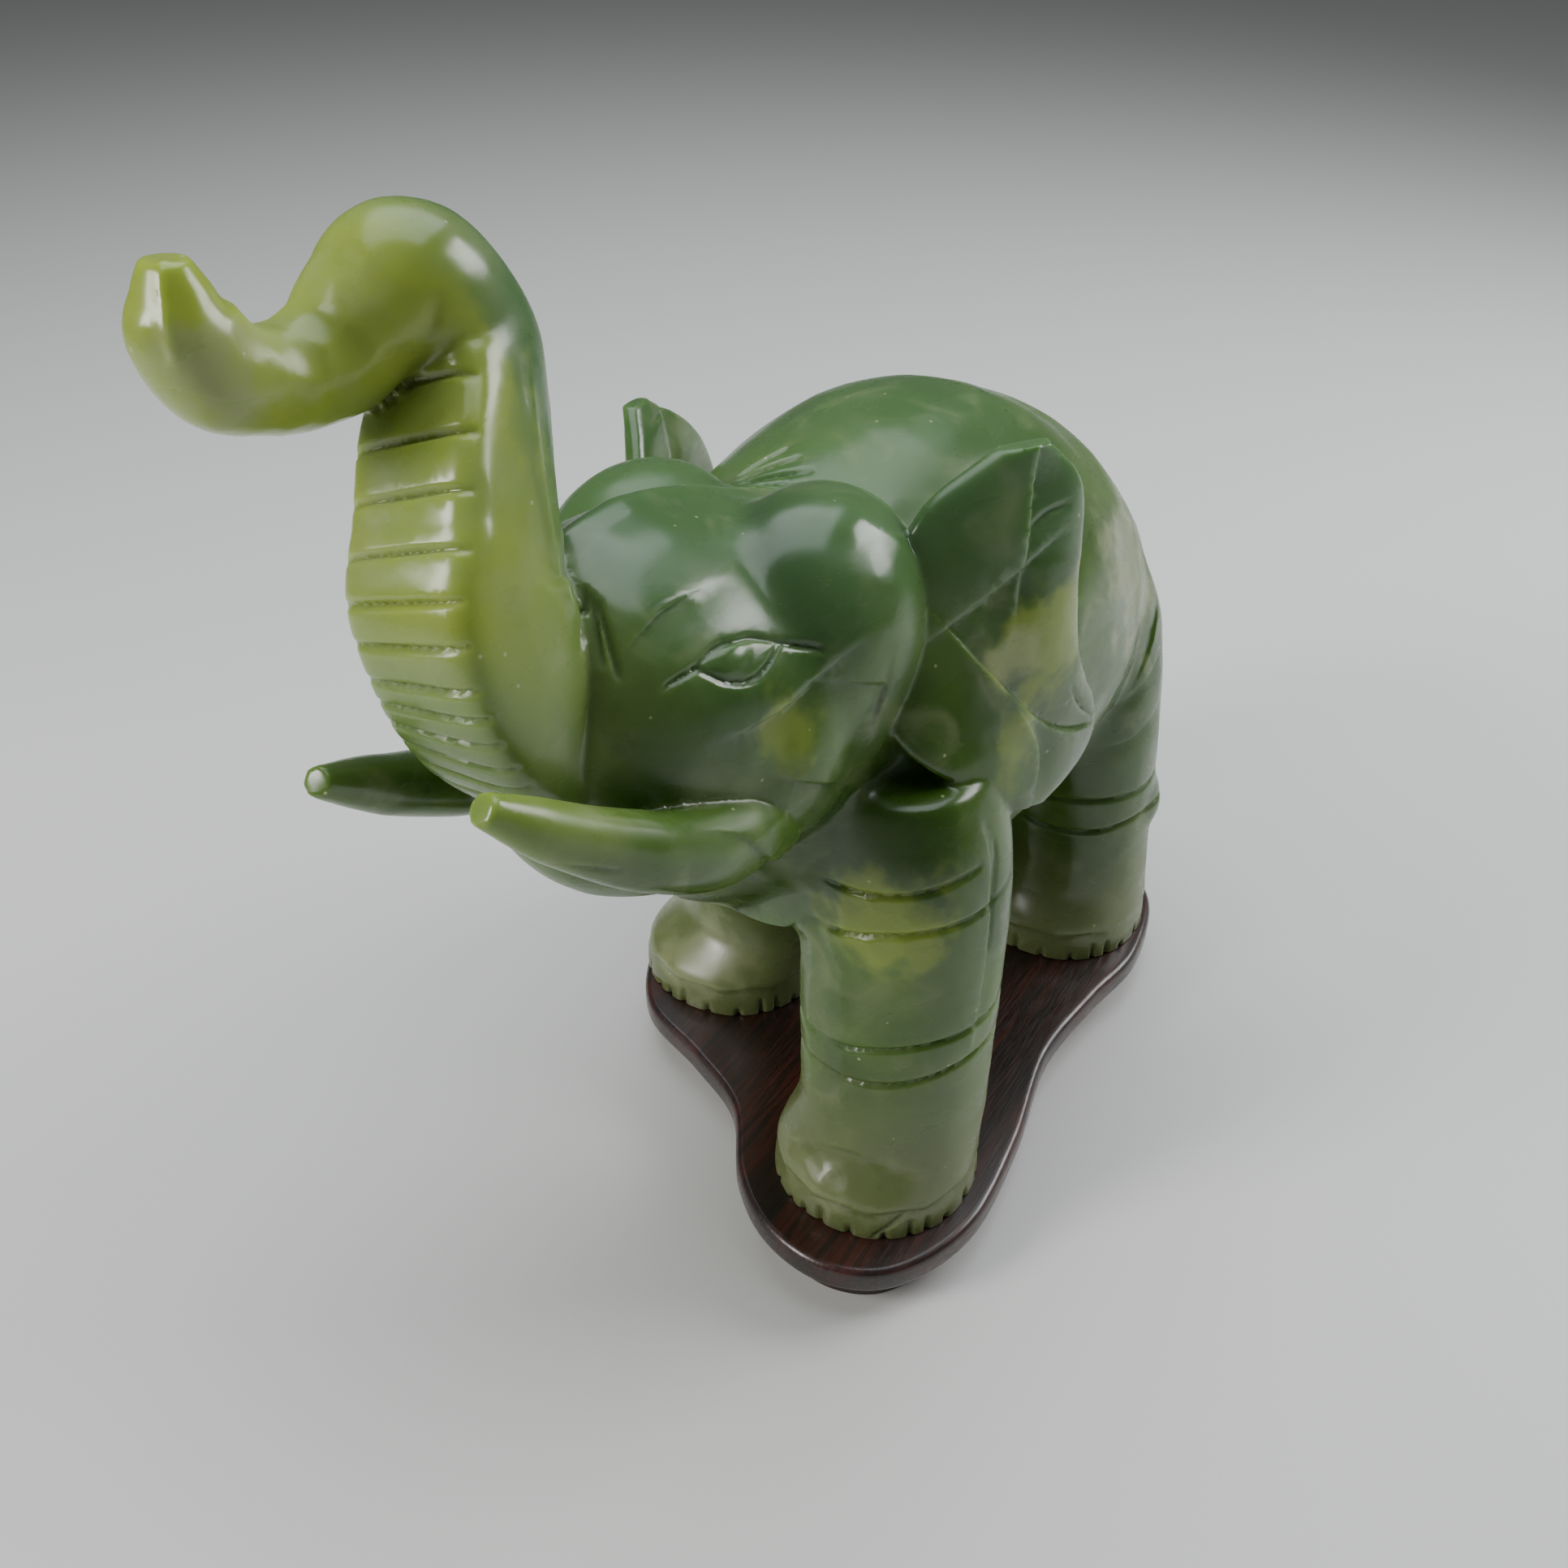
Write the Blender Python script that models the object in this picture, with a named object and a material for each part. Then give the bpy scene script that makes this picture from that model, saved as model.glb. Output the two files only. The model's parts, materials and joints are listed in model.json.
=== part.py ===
"""A jade elephant with its trunk raised, on a lobed rosewood stand that follows its four feet.

The elephant faces -Y and its left side is +X. Z is up and zero on the table, under the stand.
Every measure below is in millimetres, and MM turns it into metres when a mesh is written.
"""
import math

import bmesh
import bpy
import numpy as np
from mathutils.bvhtree import BVHTree

MM = 0.001

# Driving dimensions
STAND_HEIGHT = 13.0
PLATE_THICKNESS = 6.0
PLINTH_INSET = 5.0
REST_GAP = 0.3
SOLE = STAND_HEIGHT + REST_GAP
LEG_RADIUS = 18.5
STAND_STEPS = 5
HEAD_ROLL = math.radians(6.0)
ROLL_HEIGHT = 125.0

# Feet: centre of each sole on the stand
FRONT_LEFT = (30.5, -47.5)
FRONT_RIGHT = (-26.5, -11.0)
HIND_LEFT = (28.5, 45.0)
HIND_RIGHT = (-28.5, 50.0)

# Fineness of the melted stone
CORE_VOXEL = 1.5
FINE_VOXEL = 0.8
ELEPHANT_TRIANGLES = 8200


def clear_scene():
    """Empty the scene before modelling."""
    for thing in list(bpy.data.objects):
        bpy.data.objects.remove(thing, do_unlink=True)


def smooth_rows(rows, count):
    """Read a smooth curve through the rows: a Catmull-Rom spline in every column."""
    table = np.array(rows, dtype=float)
    padded = np.vstack([2 * table[0] - table[1], table, 2 * table[-1] - table[-2]])
    place = np.linspace(0.0, len(table) - 1.0, count)
    first = np.minimum(place.astype(int), len(table) - 2)
    t = (place - first)[:, None]
    a, b, c, d = (padded[first + k] for k in range(4))
    return 0.5 * (2 * b + (c - a) * t + (2 * a - 5 * b + 4 * c - d) * t**2 + (3 * b - a - 3 * c + d) * t**3)


def path_frames(points, side_hint):
    """Give each point of a path its side and up directions, both square to the path."""
    tangent = np.gradient(points, axis=0)
    tangent /= np.linalg.norm(tangent, axis=1)[:, None]
    side = np.tile(np.array(side_hint, dtype=float), (len(points), 1))
    side -= tangent * (side * tangent).sum(axis=1)[:, None]
    side /= np.linalg.norm(side, axis=1)[:, None]
    return side, np.cross(side, tangent)


def section(angles, half_width, up, down, power_up, power_down, pinch):
    """One cross-section: a rounded square with its own height and roundness above and below its centre.

    A power of 2 is an ellipse, more is squarer, less is a ridge. The pinch narrows the upper half.
    """
    c, s = np.cos(angles), np.sin(angles)
    power = np.where(s > 0, power_up, power_down)
    x = np.sign(c) * np.abs(c) ** (2.0 / power) * half_width
    y = np.sign(s) * np.abs(s) ** (2.0 / power)
    x = x * (1.0 - pinch * np.clip(y, 0.0, 1.0))
    return x, np.where(y > 0, y * up, y * down)


def loft_rings(rows, count, segments, side_hint=(1, 0, 0)):
    """Rings along a path. A row is x, y, z, half width, up, down, power up, power down, pinch."""
    table = smooth_rows(rows, count)
    side, up = path_frames(table[:, :3], side_hint)
    angles = np.linspace(0.0, 2 * math.pi, segments, endpoint=False)
    rings = []
    for row, s, u in zip(table, side, up):
        x, y = section(angles, *row[3:9])
        rings.append(row[:3] + x[:, None] * s + y[:, None] * u)
    return rings


def add_loft(bm, rings):
    """Draw a circle at each station, shape it, bridge it to the one before and cap both ends."""
    previous = None
    for index, ring in enumerate(rings):
        circle = bmesh.ops.create_circle(bm, segments=len(ring), radius=1.0, cap_ends=False)["verts"]
        for vert, point in zip(circle, ring):
            vert.co = point * MM
        edges = list({edge for vert in circle for edge in vert.link_edges})
        if previous is not None:
            bmesh.ops.bridge_loops(bm, edges=previous + edges)
        if index in (0, len(rings) - 1):
            bmesh.ops.contextual_create(bm, geom=edges)
        previous = edges


def add_ball(bm, centre, radii):
    """An ellipsoid, as a sphere that is stretched and moved."""
    ball = bmesh.ops.create_uvsphere(bm, u_segments=24, v_segments=14, radius=1.0)["verts"]
    for vert in ball:
        vert.co = (np.array(centre) + np.array(vert.co) * np.array(radii)) * MM


def mesh_from(name, fill):
    """Make a mesh by letting a function fill a bmesh, with its faces turned outwards."""
    bm = bmesh.new()
    fill(bm)
    bmesh.ops.recalc_face_normals(bm, faces=bm.faces[:])
    mesh = bpy.data.meshes.new(name)
    bm.to_mesh(mesh)
    bm.free()
    return mesh


def roll_head(points):
    """Roll the head's points about the lengthwise axis at the height of the cheeks: left side up."""
    c, s = math.cos(HEAD_ROLL), math.sin(HEAD_ROLL)
    x, z = points[:, 0], points[:, 2] - ROLL_HEIGHT
    return np.column_stack([x * c - z * s, points[:, 1], x * s + z * c + ROLL_HEIGHT])


# The body is carried along Y, from the chest to the rump.
# y, centre z, half width, up, down, power up
BODY = [
    (-64, 92, 14, 18, 14, 2.0),
    (-58, 92, 25, 28, 22, 2.0),
    (-46, 93, 34, 40, 30, 2.0),
    (-30, 95, 39.5, 47, 33, 2.0),
    (-10, 96, 43, 51, 34, 2.0),
    (10, 96, 44, 51.8, 34, 2.0),
    (30, 93, 42.4, 47, 31, 2.0),
    (42, 90, 40.5, 42.5, 28, 2.0),
    (54, 86, 36.8, 36.5, 26, 2.0),
    (64, 81, 31, 29.5, 24, 2.0),
    (71, 76, 21.5, 21, 18, 2.0),
    (75, 73, 9, 10, 9, 2.0),
]


# Shoulders, haunches and hocks swell out of the body and the legs: centre, radii
MUSCLES = [
    ((32, -35, 88), (11.5, 19, 25)),
    ((-31, -24, 92), (11, 17, 20)),
    ((30, 42, 83), (11.6, 20, 26)),
    ((-30, 46, 83), (11.6, 20, 26)),
    ((34, 51, 45), (13.5, 13, 11)),
    ((-34, 56, 45), (13.5, 13, 11)),
]


def body(bm):
    """The barrel of the body, with the muscles over the legs."""
    rows = [(0, y, z, w, up, down, power, 2.3, 0) for y, z, w, up, down, power in BODY]
    add_loft(bm, loft_rings(rows, 44, 44))
    for centre, radii in MUSCLES:
        add_ball(bm, centre, radii)


# The tail hangs from the rump and its tuft lies against the right hind leg. x, y, z, radius
TAIL = [
    (0, 62, 112, 5.5),
    (0, 70, 101, 4.9),
    (-1, 75, 88, 4.3),
    (-5, 75.8, 75, 4.1),
    (-10.5, 74, 62, 4.5),
    (-15, 72.5, 50, 5.0),
    (-17, 71.5, 41, 3.4),
]


def tail(bm):
    """A round tail that tapers and swells again into its tuft."""
    rows = [(x, y, z, r, r, r, 2, 2, 0) for x, y, z, r in TAIL]
    add_loft(bm, loft_rings(rows, 26, 16))


# A leg is carried up from below its sole, which is cut flat. Height over the sole, width and depth factors
LEG = [
    (-6, 1.08, 1.08),
    (0, 1.07, 1.07),
    (7, 1.06, 1.06),
    (11, 1.01, 1.01),
    (17, 0.965, 0.965),
    (28, 0.96, 0.96),
    (42, 0.985, 0.985),
    (56, 0.985, 0.985),
    (70, 0.96, 1.0),
    (82, 0.88, 0.96),
    (93, 0.66, 0.8),
]
BAND_HEIGHT = 7.0
ANKLE_HEIGHT = 18.0
HIP_HEIGHT = 93.0


def leg(bm, foot, ankle, hip, thickness=1.0, flare=0.0):
    """A thick leg in level rings: the sole stands forward of the ankle, and the shank leads up to the hip."""
    rows = []
    for height, width, depth in LEG:
        toe = np.clip(1 - (height - BAND_HEIGHT) / (ANKLE_HEIGHT - BAND_HEIGHT), 0, 1)
        rise = np.clip((height - ANKLE_HEIGHT) / (HIP_HEIGHT - ANKLE_HEIGHT), 0, 1)
        x = ankle[0] + (hip[0] - ankle[0]) * rise + (foot[0] - ankle[0]) * toe
        y = ankle[1] + (hip[1] - ankle[1]) * rise + (foot[1] - ankle[1]) * toe
        r = LEG_RADIUS * (thickness + flare * toe)
        rows.append((x, y, SOLE + height, r * width, r * depth))
    angles = np.linspace(0.0, 2 * math.pi, 32, endpoint=False)
    rings = []
    for x, y, z, half_width, half_depth in smooth_rows(rows, 36):
        across, along = section(angles, half_width, half_depth, half_depth, 2.15, 2.15, 0)
        rings.append(np.column_stack([x + across, y + along, np.full(len(angles), z)]))
    add_loft(bm, rings)


# The head is carried along Y from the neck to the face, before it is rolled.
# y, ridge z, widest z, bottom z, half width, power up, power down
HEAD = [
    (-14, 136, 110, 80, 26, 2.0, 2.0),
    (-26, 141, 115, 82, 30, 2.0, 2.0),
    (-38, 144.5, 119, 84, 31.5, 2.0, 2.0),
    (-50, 148, 123, 87, 31.5, 1.9, 1.9),
    (-62, 152.5, 127, 89, 30, 1.7, 1.8),
    (-73, 156, 130, 93, 27.5, 1.6, 1.8),
    (-83, 158.5, 134, 100, 24, 1.6, 1.8),
    (-91, 159, 138, 110, 19, 1.7, 2.0),
    (-97, 156.5, 141, 120, 13, 1.8, 2.0),
]

# The lower jaw runs from the throat to the tip of the lip.
# y, z, half width, up, down
JAW = [
    (-50, 97, 14, 12, 12),
    (-62, 98, 13.5, 10, 11),
    (-74, 100, 12, 9, 9),
    (-83, 104.2, 9.5, 8, 7.2),
    (-90.5, 108.6, 6.5, 5.5, 4.8),
    (-95, 111.3, 3.2, 3, 2.5),
]


# The dome of the crown and the cheek on the left side: centre, radii
SKULL = [
    ((16, -50, 129.5), (18, 23, 23)),
    ((17, -65, 117), (12.5, 18, 18)),
]


def head(bm):
    """The skull and the lower jaw, with a dome on each side of the crown and a full cheek below it."""
    rows = []
    for y, top, middle, bottom, width, power_up, power_down in HEAD:
        rows.append((0, y, middle, width, top - middle, middle - bottom, power_up, power_down, 0))
    add_loft(bm, [roll_head(ring) for ring in loft_rings(rows, 36, 48, side_hint=(-1, 0, 0))])
    rows = [(0, y, z, w, up, down, 2, 2, 0) for y, z, w, up, down in JAW]
    add_loft(bm, [roll_head(ring) for ring in loft_rings(rows, 24, 28, side_hint=(-1, 0, 0))])
    for side in (-1, 1):
        for (x, y, z), radii in SKULL:
            add_ball(bm, roll_head(np.array([[side * x, y, z]]))[0], radii)


def eyes(bm):
    """Two almond-shaped eyeballs that stand a little out of the head."""
    for side in (-1, 1):
        add_ball(bm, roll_head(np.array([[side * 20.2, -78.5, 137.5]]))[0], (4, 6.5, 4.2))


# The trunk rises from the face, leans to the right, arches forward and curls up at its tip.
# x, y, z, half width, dorsal, ventral, dorsal power, ventral power, pinch
TRUNK = [
    (0, -78, 118, 11, 15, 12, 2.4, 3.0, 0.1),
    (-0.3, -90, 126, 11.5, 14.5, 12.5, 2.6, 4.0, 0.15),
    (-0.6, -99, 134, 11.7, 14.5, 12.5, 3.0, 5.0, 0.15),
    (0, -105, 144.2, 11.6, 15, 11.8, 3.0, 6.0, 0.15),
    (-1.3, -105.8, 155.3, 11.4, 15.5, 11.4, 3.0, 6.0, 0.15),
    (-3.1, -101.8, 162.2, 11.1, 14.8, 11, 3.0, 6.0, 0.15),
    (-5.5, -96.5, 170, 10.8, 13, 10.6, 2.8, 6.0, 0.15),
    (-8.1, -91.2, 177.2, 10.3, 11.4, 10, 2.5, 5.0, 0.1),
    (-10, -88.5, 184.5, 10.2, 10.4, 10, 2.2, 3.0, 0.05),
    (-12, -93.6, 192.2, 10.6, 10.6, 10.6, 2.1, 2.2, 0),
    (-13.6, -99.6, 190.5, 9.6, 8.6, 10.2, 2.1, 2.1, 0),
    (-15, -105.4, 187.2, 8.2, 6.8, 8.6, 2.1, 2.1, 0),
    (-16.2, -111.3, 186, 7.2, 6.4, 7.3, 2.1, 2.1, 0),
    (-16.6, -116.9, 187, 6.9, 6.4, 6.9, 2.1, 2.1, 0),
    (-16.8, -121.6, 189.5, 7.1, 7.0, 7.0, 2.1, 2.1, 0),
    (-16.7, -124.6, 195, 6.4, 6.6, 6.0, 2.1, 2.1, 0),
    (-16.3, -124.9, 199.5, 4.8, 4.8, 3.8, 2.1, 2.1, 0),
    (-15.9, -124.9, 203, 3.0, 3.0, 2.2, 2.1, 2.1, 0),
]
TRUNK_STATIONS = 110
UP_THE_TRUNK = (-1, 0, 0)


def trunk(bm):
    """The trunk, with its frames turned so that the dorsal side points up the forehead."""
    add_loft(bm, [roll_head(ring) for ring in loft_rings(TRUNK, TRUNK_STATIONS, 40, UP_THE_TRUNK)])


# A tusk comes out of the cheek, sweeps forward and up, and ends blunt. Both are given before the roll.
# x, y, z, radius
LEFT_TUSK = [
    (19, -72, 107.5, 6.8),
    (21, -84, 111, 6.6),
    (21.3, -96, 116, 6.1),
    (20.3, -108, 124, 5.3),
    (18.5, -119, 133, 4.0),
    (16.7, -126.5, 140, 2.3),
]
RIGHT_TUSK = [
    (-19, -74, 109, 6.6),
    (-19.8, -86, 113.5, 6.1),
    (-20, -97, 118, 5.6),
    (-19.3, -107.5, 123.5, 4.9),
    (-17.8, -117, 129.5, 3.8),
    (-16.2, -124.5, 134.3, 2.2),
]


def tusks(bm):
    """Two round tusks, both carved from the cheeks."""
    for table in (LEFT_TUSK, RIGHT_TUSK):
        rows = [(x, y, z, r, r, r, 2, 2, 0) for x, y, z, r in table]
        add_loft(bm, [roll_head(ring) for ring in loft_rings(rows, 26, 20)])


# Ears before the roll, on the left side: each row runs from the root to the free edge, top row first.
# root x, y, z, edge x, y, z, thickness, bulge
LEFT_EAR = [
    (38, -27, 153, 43.5, -19, 152.5, 2.0, 0.0),
    (31, -38, 147, 45, -13, 146, 2.6, 1.0),
    (28.5, -43, 138, 45.5, -11, 139, 3.0, 2.0),
    (27.5, -46, 127, 45, -12, 127, 3.4, 2.5),
    (28, -49, 119, 44.5, -11, 114, 3.6, 2.5),
    (31, -51, 112, 43.5, -5, 104, 3.6, 2.5),
    (35.5, -48.5, 106, 42.5, 2, 93, 3.4, 2.0),
    (39.5, -41, 98, 42, -4, 86.5, 3.0, 1.0),
    (41.5, -33, 91, 42, -22, 86.5, 2.4, 0.0),
]
# The right ear lies further back along the body.
RIGHT_EAR = [
    (38.5, -22, 150.5, 40, -15, 150.5, 2.0, 0.0),
    (35, -26, 146, 42, -6, 145, 2.6, 0.5),
    (30, -34, 137, 44, 3, 138, 3.0, 1.5),
    (27.5, -42, 127, 46, 10, 129, 3.4, 2.5),
    (28, -46, 119, 46, 12, 118, 3.6, 3.5),
    (31, -48, 112, 45, 10, 107, 3.6, 3.5),
    (35, -46, 105, 44, 5, 97, 3.4, 2.5),
    (39, -39, 97, 43.5, -5, 88, 3.0, 1.0),
    (42, -30, 91, 43, -22, 86.5, 2.4, 0.0),
]


def ear(bm, table, side):
    """A leaf of stone hung from the side of the head, thick at the middle and thin at its edge."""
    rings = []
    for fx, fy, fz, bx, by, bz, thick, belly in smooth_rows(table, 30):
        front, back = np.array([side * fx, fy, fz]), np.array([side * bx, by, bz])
        middle, reach = (front + back) / 2, (back - front) / 2
        half = np.linalg.norm(reach)
        along = reach / half
        out = np.cross(along, (0, 0, 1.0))
        out *= np.sign(out[0]) * side / np.linalg.norm(out)
        angles = np.linspace(0, 2 * math.pi, 28, endpoint=False)
        x, y = section(angles, half, thick, thick, 2.6, 2.6, 0)
        bulge = belly * (1 - (x / half) ** 2)
        rings.append(roll_head(middle + x[:, None] * along + (y + bulge)[:, None] * out))
    add_loft(bm, rings)


def ears(bm):
    ear(bm, LEFT_EAR, 1)
    ear(bm, RIGHT_EAR, -1)


def melt(name, meshes, voxel, smoothing, steps):
    """Weld overlapping solids into one skin: remesh by voxels, then smooth like worn stone."""
    bm = bmesh.new()
    for mesh in meshes:
        bm.from_mesh(mesh)
    joined = bpy.data.meshes.new(name)
    bm.to_mesh(joined)
    bm.free()
    lump = bpy.data.objects.new(name, joined)
    bpy.context.scene.collection.objects.link(lump)
    remesh = lump.modifiers.new("weld", "REMESH")
    remesh.mode = "VOXEL"
    remesh.voxel_size = voxel * MM
    smooth = lump.modifiers.new("soften", "SMOOTH")
    smooth.factor = smoothing
    smooth.iterations = steps
    graph = bpy.context.evaluated_depsgraph_get()
    melted = bpy.data.meshes.new_from_object(lump.evaluated_get(graph))
    bpy.data.objects.remove(lump, do_unlink=True)
    return melted


# Grooves cut square across the flat front of the trunk: well apart above, closer together at the root
TOP_GROOVE = 182.0
WIDE_PITCH = 5.6
WIDE_GROOVES = 7
CLOSE_PITCH = 4.0
CLOSE_GROOVES = 6
# Heights of the rings cut round each leg, over the sole, and how far round each one goes in degrees
LEG_RINGS = [(34, 150), (42, 150), (68, 100), (77, 60)]
NAIL_NOTCHES = 18
NOTCH_TOP = 6.5

# Carved lines of the left side, before the roll. Each runs between two ends, with its middle pushed aside by a
# bow: start, end, bow, width, depth. A depth below zero is a raised line.
FOREHEAD_RIDGE = ((0, -92, 159), (0, -40, 145), (0, 0, 2), 3.2, -1.3)
HEAD_STROKES = [
    ((18, -91, 139), (20, -86, 140), (0, 0, 0), 0.8, 1.1),
    ((20, -86, 140), (25, -71, 138), (0, 0, 3), 0.8, 1.1),
    ((25, -71, 138), (27, -65, 135), (0, 0, 0), 0.8, 1.1),
    ((20, -86, 140), (25, -72, 138), (0, 0, -4), 0.8, 1.1),
    ((25, -81, 129), (29, -66, 131), (0, 0, -1), 1.6, -0.9),
    ((29, -65, 130), (32, -55, 126), (0, 0, 0), 1.2, 0.8),
    ((32, -55, 126), (30, -56, 119), (0, 0, 0), 1.2, 0.8),
]
EAR_STROKES = [
    ((43, -22, 153), (42, -27, 134), (0, 0, 0), 1.2, 1.2),
    ((42, -27, 134), (39, -36, 130), (0, 0, 0), 1.2, 1.2),
    ((37, -39, 125), (45, -6, 95), (0, 0, -6), 1.2, 1.3),
    ((43, -29, 107), (44, -29, 91), (0, 3, 0), 1.0, 0.9),
]
RIGHT_EAR_SETBACK = 10.0
RUMP_FOLDS = [
    ((42, 22, 84), (44, 50, 97), (0, 0, -4), 1.3, 1.3),
    ((38, 27, 71), (45, 44, 75), (0, 0, 0), 1.3, 1.3),
]
ROOT_WRINKLES = 3
NAPE_WRINKLES = 4


def bowed(start, end, bow):
    """A line between two ends, bowed to one side: start + t (end - start) + sin(pi t) bow."""
    t = np.linspace(0, 1, 9)[:, None]
    return np.array(start) + t * np.subtract(end, start) + np.sin(math.pi * t) * np.array(bow)


def groove_heights():
    """Heights at which the grooves cross the front of the trunk, from the top one down."""
    wide = TOP_GROOVE - WIDE_PITCH * np.arange(WIDE_GROOVES)
    return np.concatenate([wide, wide[-1] - CLOSE_PITCH * np.arange(1, CLOSE_GROOVES + 1)])


def trunk_strokes():
    """The cross grooves: straight lines over the front face, at the stations where it has those heights."""
    table = smooth_rows(TRUNK, TRUNK_STATIONS)
    side, dorsal = path_frames(table[:, :3], UP_THE_TRUNK)
    face = table[:, :3] - dorsal * table[:, 5:6]
    rising = np.arange(TRUNK_STATIONS) < np.argmax(face[:, 2])
    strokes = []
    for height in groove_heights():
        station = np.interp(height, face[rising, 2], np.flatnonzero(rising))
        middle, across, reach = (
            np.array([np.interp(station, np.arange(TRUNK_STATIONS), column) for column in columns.T])
            for columns in (face, side, table[:, 3:4]))
        line = middle + np.linspace(-0.85, 0.85, 9)[:, None] * reach * across
        strokes.append((roll_head(line), 0.8, 0.9))
    return strokes


def mirrored(line):
    """The same line on the right side."""
    return line * (-1, 1, 1)


def face_strokes():
    """Eyelids, cheek folds, ear folds and the wrinkles beside the trunk, on both sides of the rolled head."""
    start, end, bow, width, depth = FOREHEAD_RIDGE
    strokes = [(roll_head(bowed(start, end, bow)), width, depth)]
    wrinkles = [((7 + k, -91, 152 - k), (10 + 2 * k, -97 + k, 146 - 2 * k), (0, 0, 0), 0.8, 0.9)
                for k in range(ROOT_WRINKLES)]
    for start, end, bow, width, depth in HEAD_STROKES + wrinkles:
        line = bowed(start, end, bow)
        strokes.append((roll_head(line), width, depth))
        strokes.append((roll_head(mirrored(line)), width, depth))
    for start, end, bow, width, depth in EAR_STROKES:
        line = bowed(start, end, bow)
        strokes.append((roll_head(line), width, depth))
        strokes.append((roll_head(mirrored(line) + (0, RIGHT_EAR_SETBACK, 0)), width, depth))
    return strokes


def body_strokes():
    """Folds at the root of each thigh, and a fan of wrinkles where the head turns against the nape."""
    strokes = []
    for start, end, bow, width, depth in RUMP_FOLDS:
        line = bowed(start, end, bow)
        strokes.append((line, width, depth))
        strokes.append((mirrored(line), width, depth))
    for k in range(NAPE_WRINKLES):
        start = (-13, -27 - 2 * k, 141)
        end = (-8 + 4 * k, -19 - 3 * k, 144.5)
        strokes.append((np.linspace(start, end, 4), 0.8, 0.9))
    return strokes


def leg_strokes(foot, ankle, hip, front, thickness, flare, rings):
    """Rings cut round the front of a leg and notches cut up into the edge of its sole."""
    strokes = []
    for height, spread in LEG_RINGS[:rings]:
        rise = (height - ANKLE_HEIGHT) / (HIP_HEIGHT - ANKLE_HEIGHT)
        centre = np.array(ankle) + (np.array(hip) - ankle) * rise
        turn = np.radians(front + np.linspace(-spread, spread, 30))
        radius = LEG_RADIUS * thickness
        level = np.full(len(turn), SOLE + height)
        ring = (centre[0] + radius * np.cos(turn), centre[1] + radius * np.sin(turn), level)
        strokes.append((np.column_stack(ring), 1.0, 0.9))
    for k in range(NAIL_NOTCHES):
        turn = 2 * math.pi * k / NAIL_NOTCHES
        radius = LEG_RADIUS * (thickness + flare) * LEG[1][1]
        x, y = foot[0] + radius * math.cos(turn), foot[1] + radius * math.sin(turn)
        strokes.append((np.array([[x, y, SOLE + z] for z in np.linspace(0, NOTCH_TOP, 6)]), 1.0, 0.8))
    return strokes


def carve(mesh, strokes):
    """Press each stroke into the skin: lay its line on the stone and sink what is near it along the normal.

    The groove has a bell-shaped section and fades out at both ends.
    """
    count = len(mesh.vertices)
    points = np.empty(count * 3)
    normals = np.empty(count * 3)
    mesh.vertices.foreach_get("co", points)
    mesh.vertices.foreach_get("normal", normals)
    points = points.reshape(-1, 3) / MM
    normals = normals.reshape(-1, 3)
    skin = BVHTree.FromPolygons([v.co for v in mesh.vertices], [p.vertices for p in mesh.polygons])
    sink = np.zeros(count)
    for line, width, depth in strokes:
        dense = smooth_rows(line, 5 * len(line))
        fade = np.sqrt(np.sin(np.linspace(0.05, 0.95, len(dense)) * math.pi))
        laid = np.array([skin.find_nearest(point * MM)[0] for point in dense]) / MM
        margin = 3 * width
        near = np.flatnonzero(((points > laid.min(0) - margin) & (points < laid.max(0) + margin)).all(axis=1))
        apart = np.linalg.norm(points[near, None] - laid[None], axis=2)
        sink[near] += depth * (fade * np.exp(-((apart / width) ** 2))).max(axis=1)
    points -= normals * sink[:, None]
    mesh.vertices.foreach_set("co", (points * MM).ravel())
    mesh.update()


def cut_soles(mesh):
    """Cut the stone flat at the soles, square to the vertical."""
    bm = bmesh.new()
    bm.from_mesh(mesh)
    cut = bmesh.ops.bisect_plane(bm, geom=bm.verts[:] + bm.edges[:] + bm.faces[:], plane_co=(0, 0, SOLE * MM),
                                 plane_no=(0, 0, -1), clear_outer=True)
    rim = [g for g in cut["geom_cut"] if isinstance(g, bmesh.types.BMEdge)]
    bmesh.ops.holes_fill(bm, edges=rim, sides=0)
    bm.to_mesh(mesh)
    bm.free()


# Each leg: foot, ankle and hip in plan, the way it faces in degrees, thickness, flare of the foot, rings
LEGS = [
    (FRONT_LEFT, (31.5, -43.5), (31.5, -42), -80, 1.0, 0.0, 4),
    (FRONT_RIGHT, (-21.5, -6), (-26, -24), -100, 0.9, 0.12, 3),
    (HIND_LEFT, (29.5, 47.5), (25.5, 43), -80, 0.98, 0.04, 2),
    (HIND_RIGHT, (-28.5, 53), (-25.5, 44), -100, 0.98, 0.04, 2),
]


# What is melted together first and softened most, and what is added to it and kept crisp
MASSES = [("body", body), ("head", head), ("tail", tail)]
FEATURES = [("trunk", trunk), ("tusks", tusks), ("ears", ears), ("eyes", eyes)]


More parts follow.
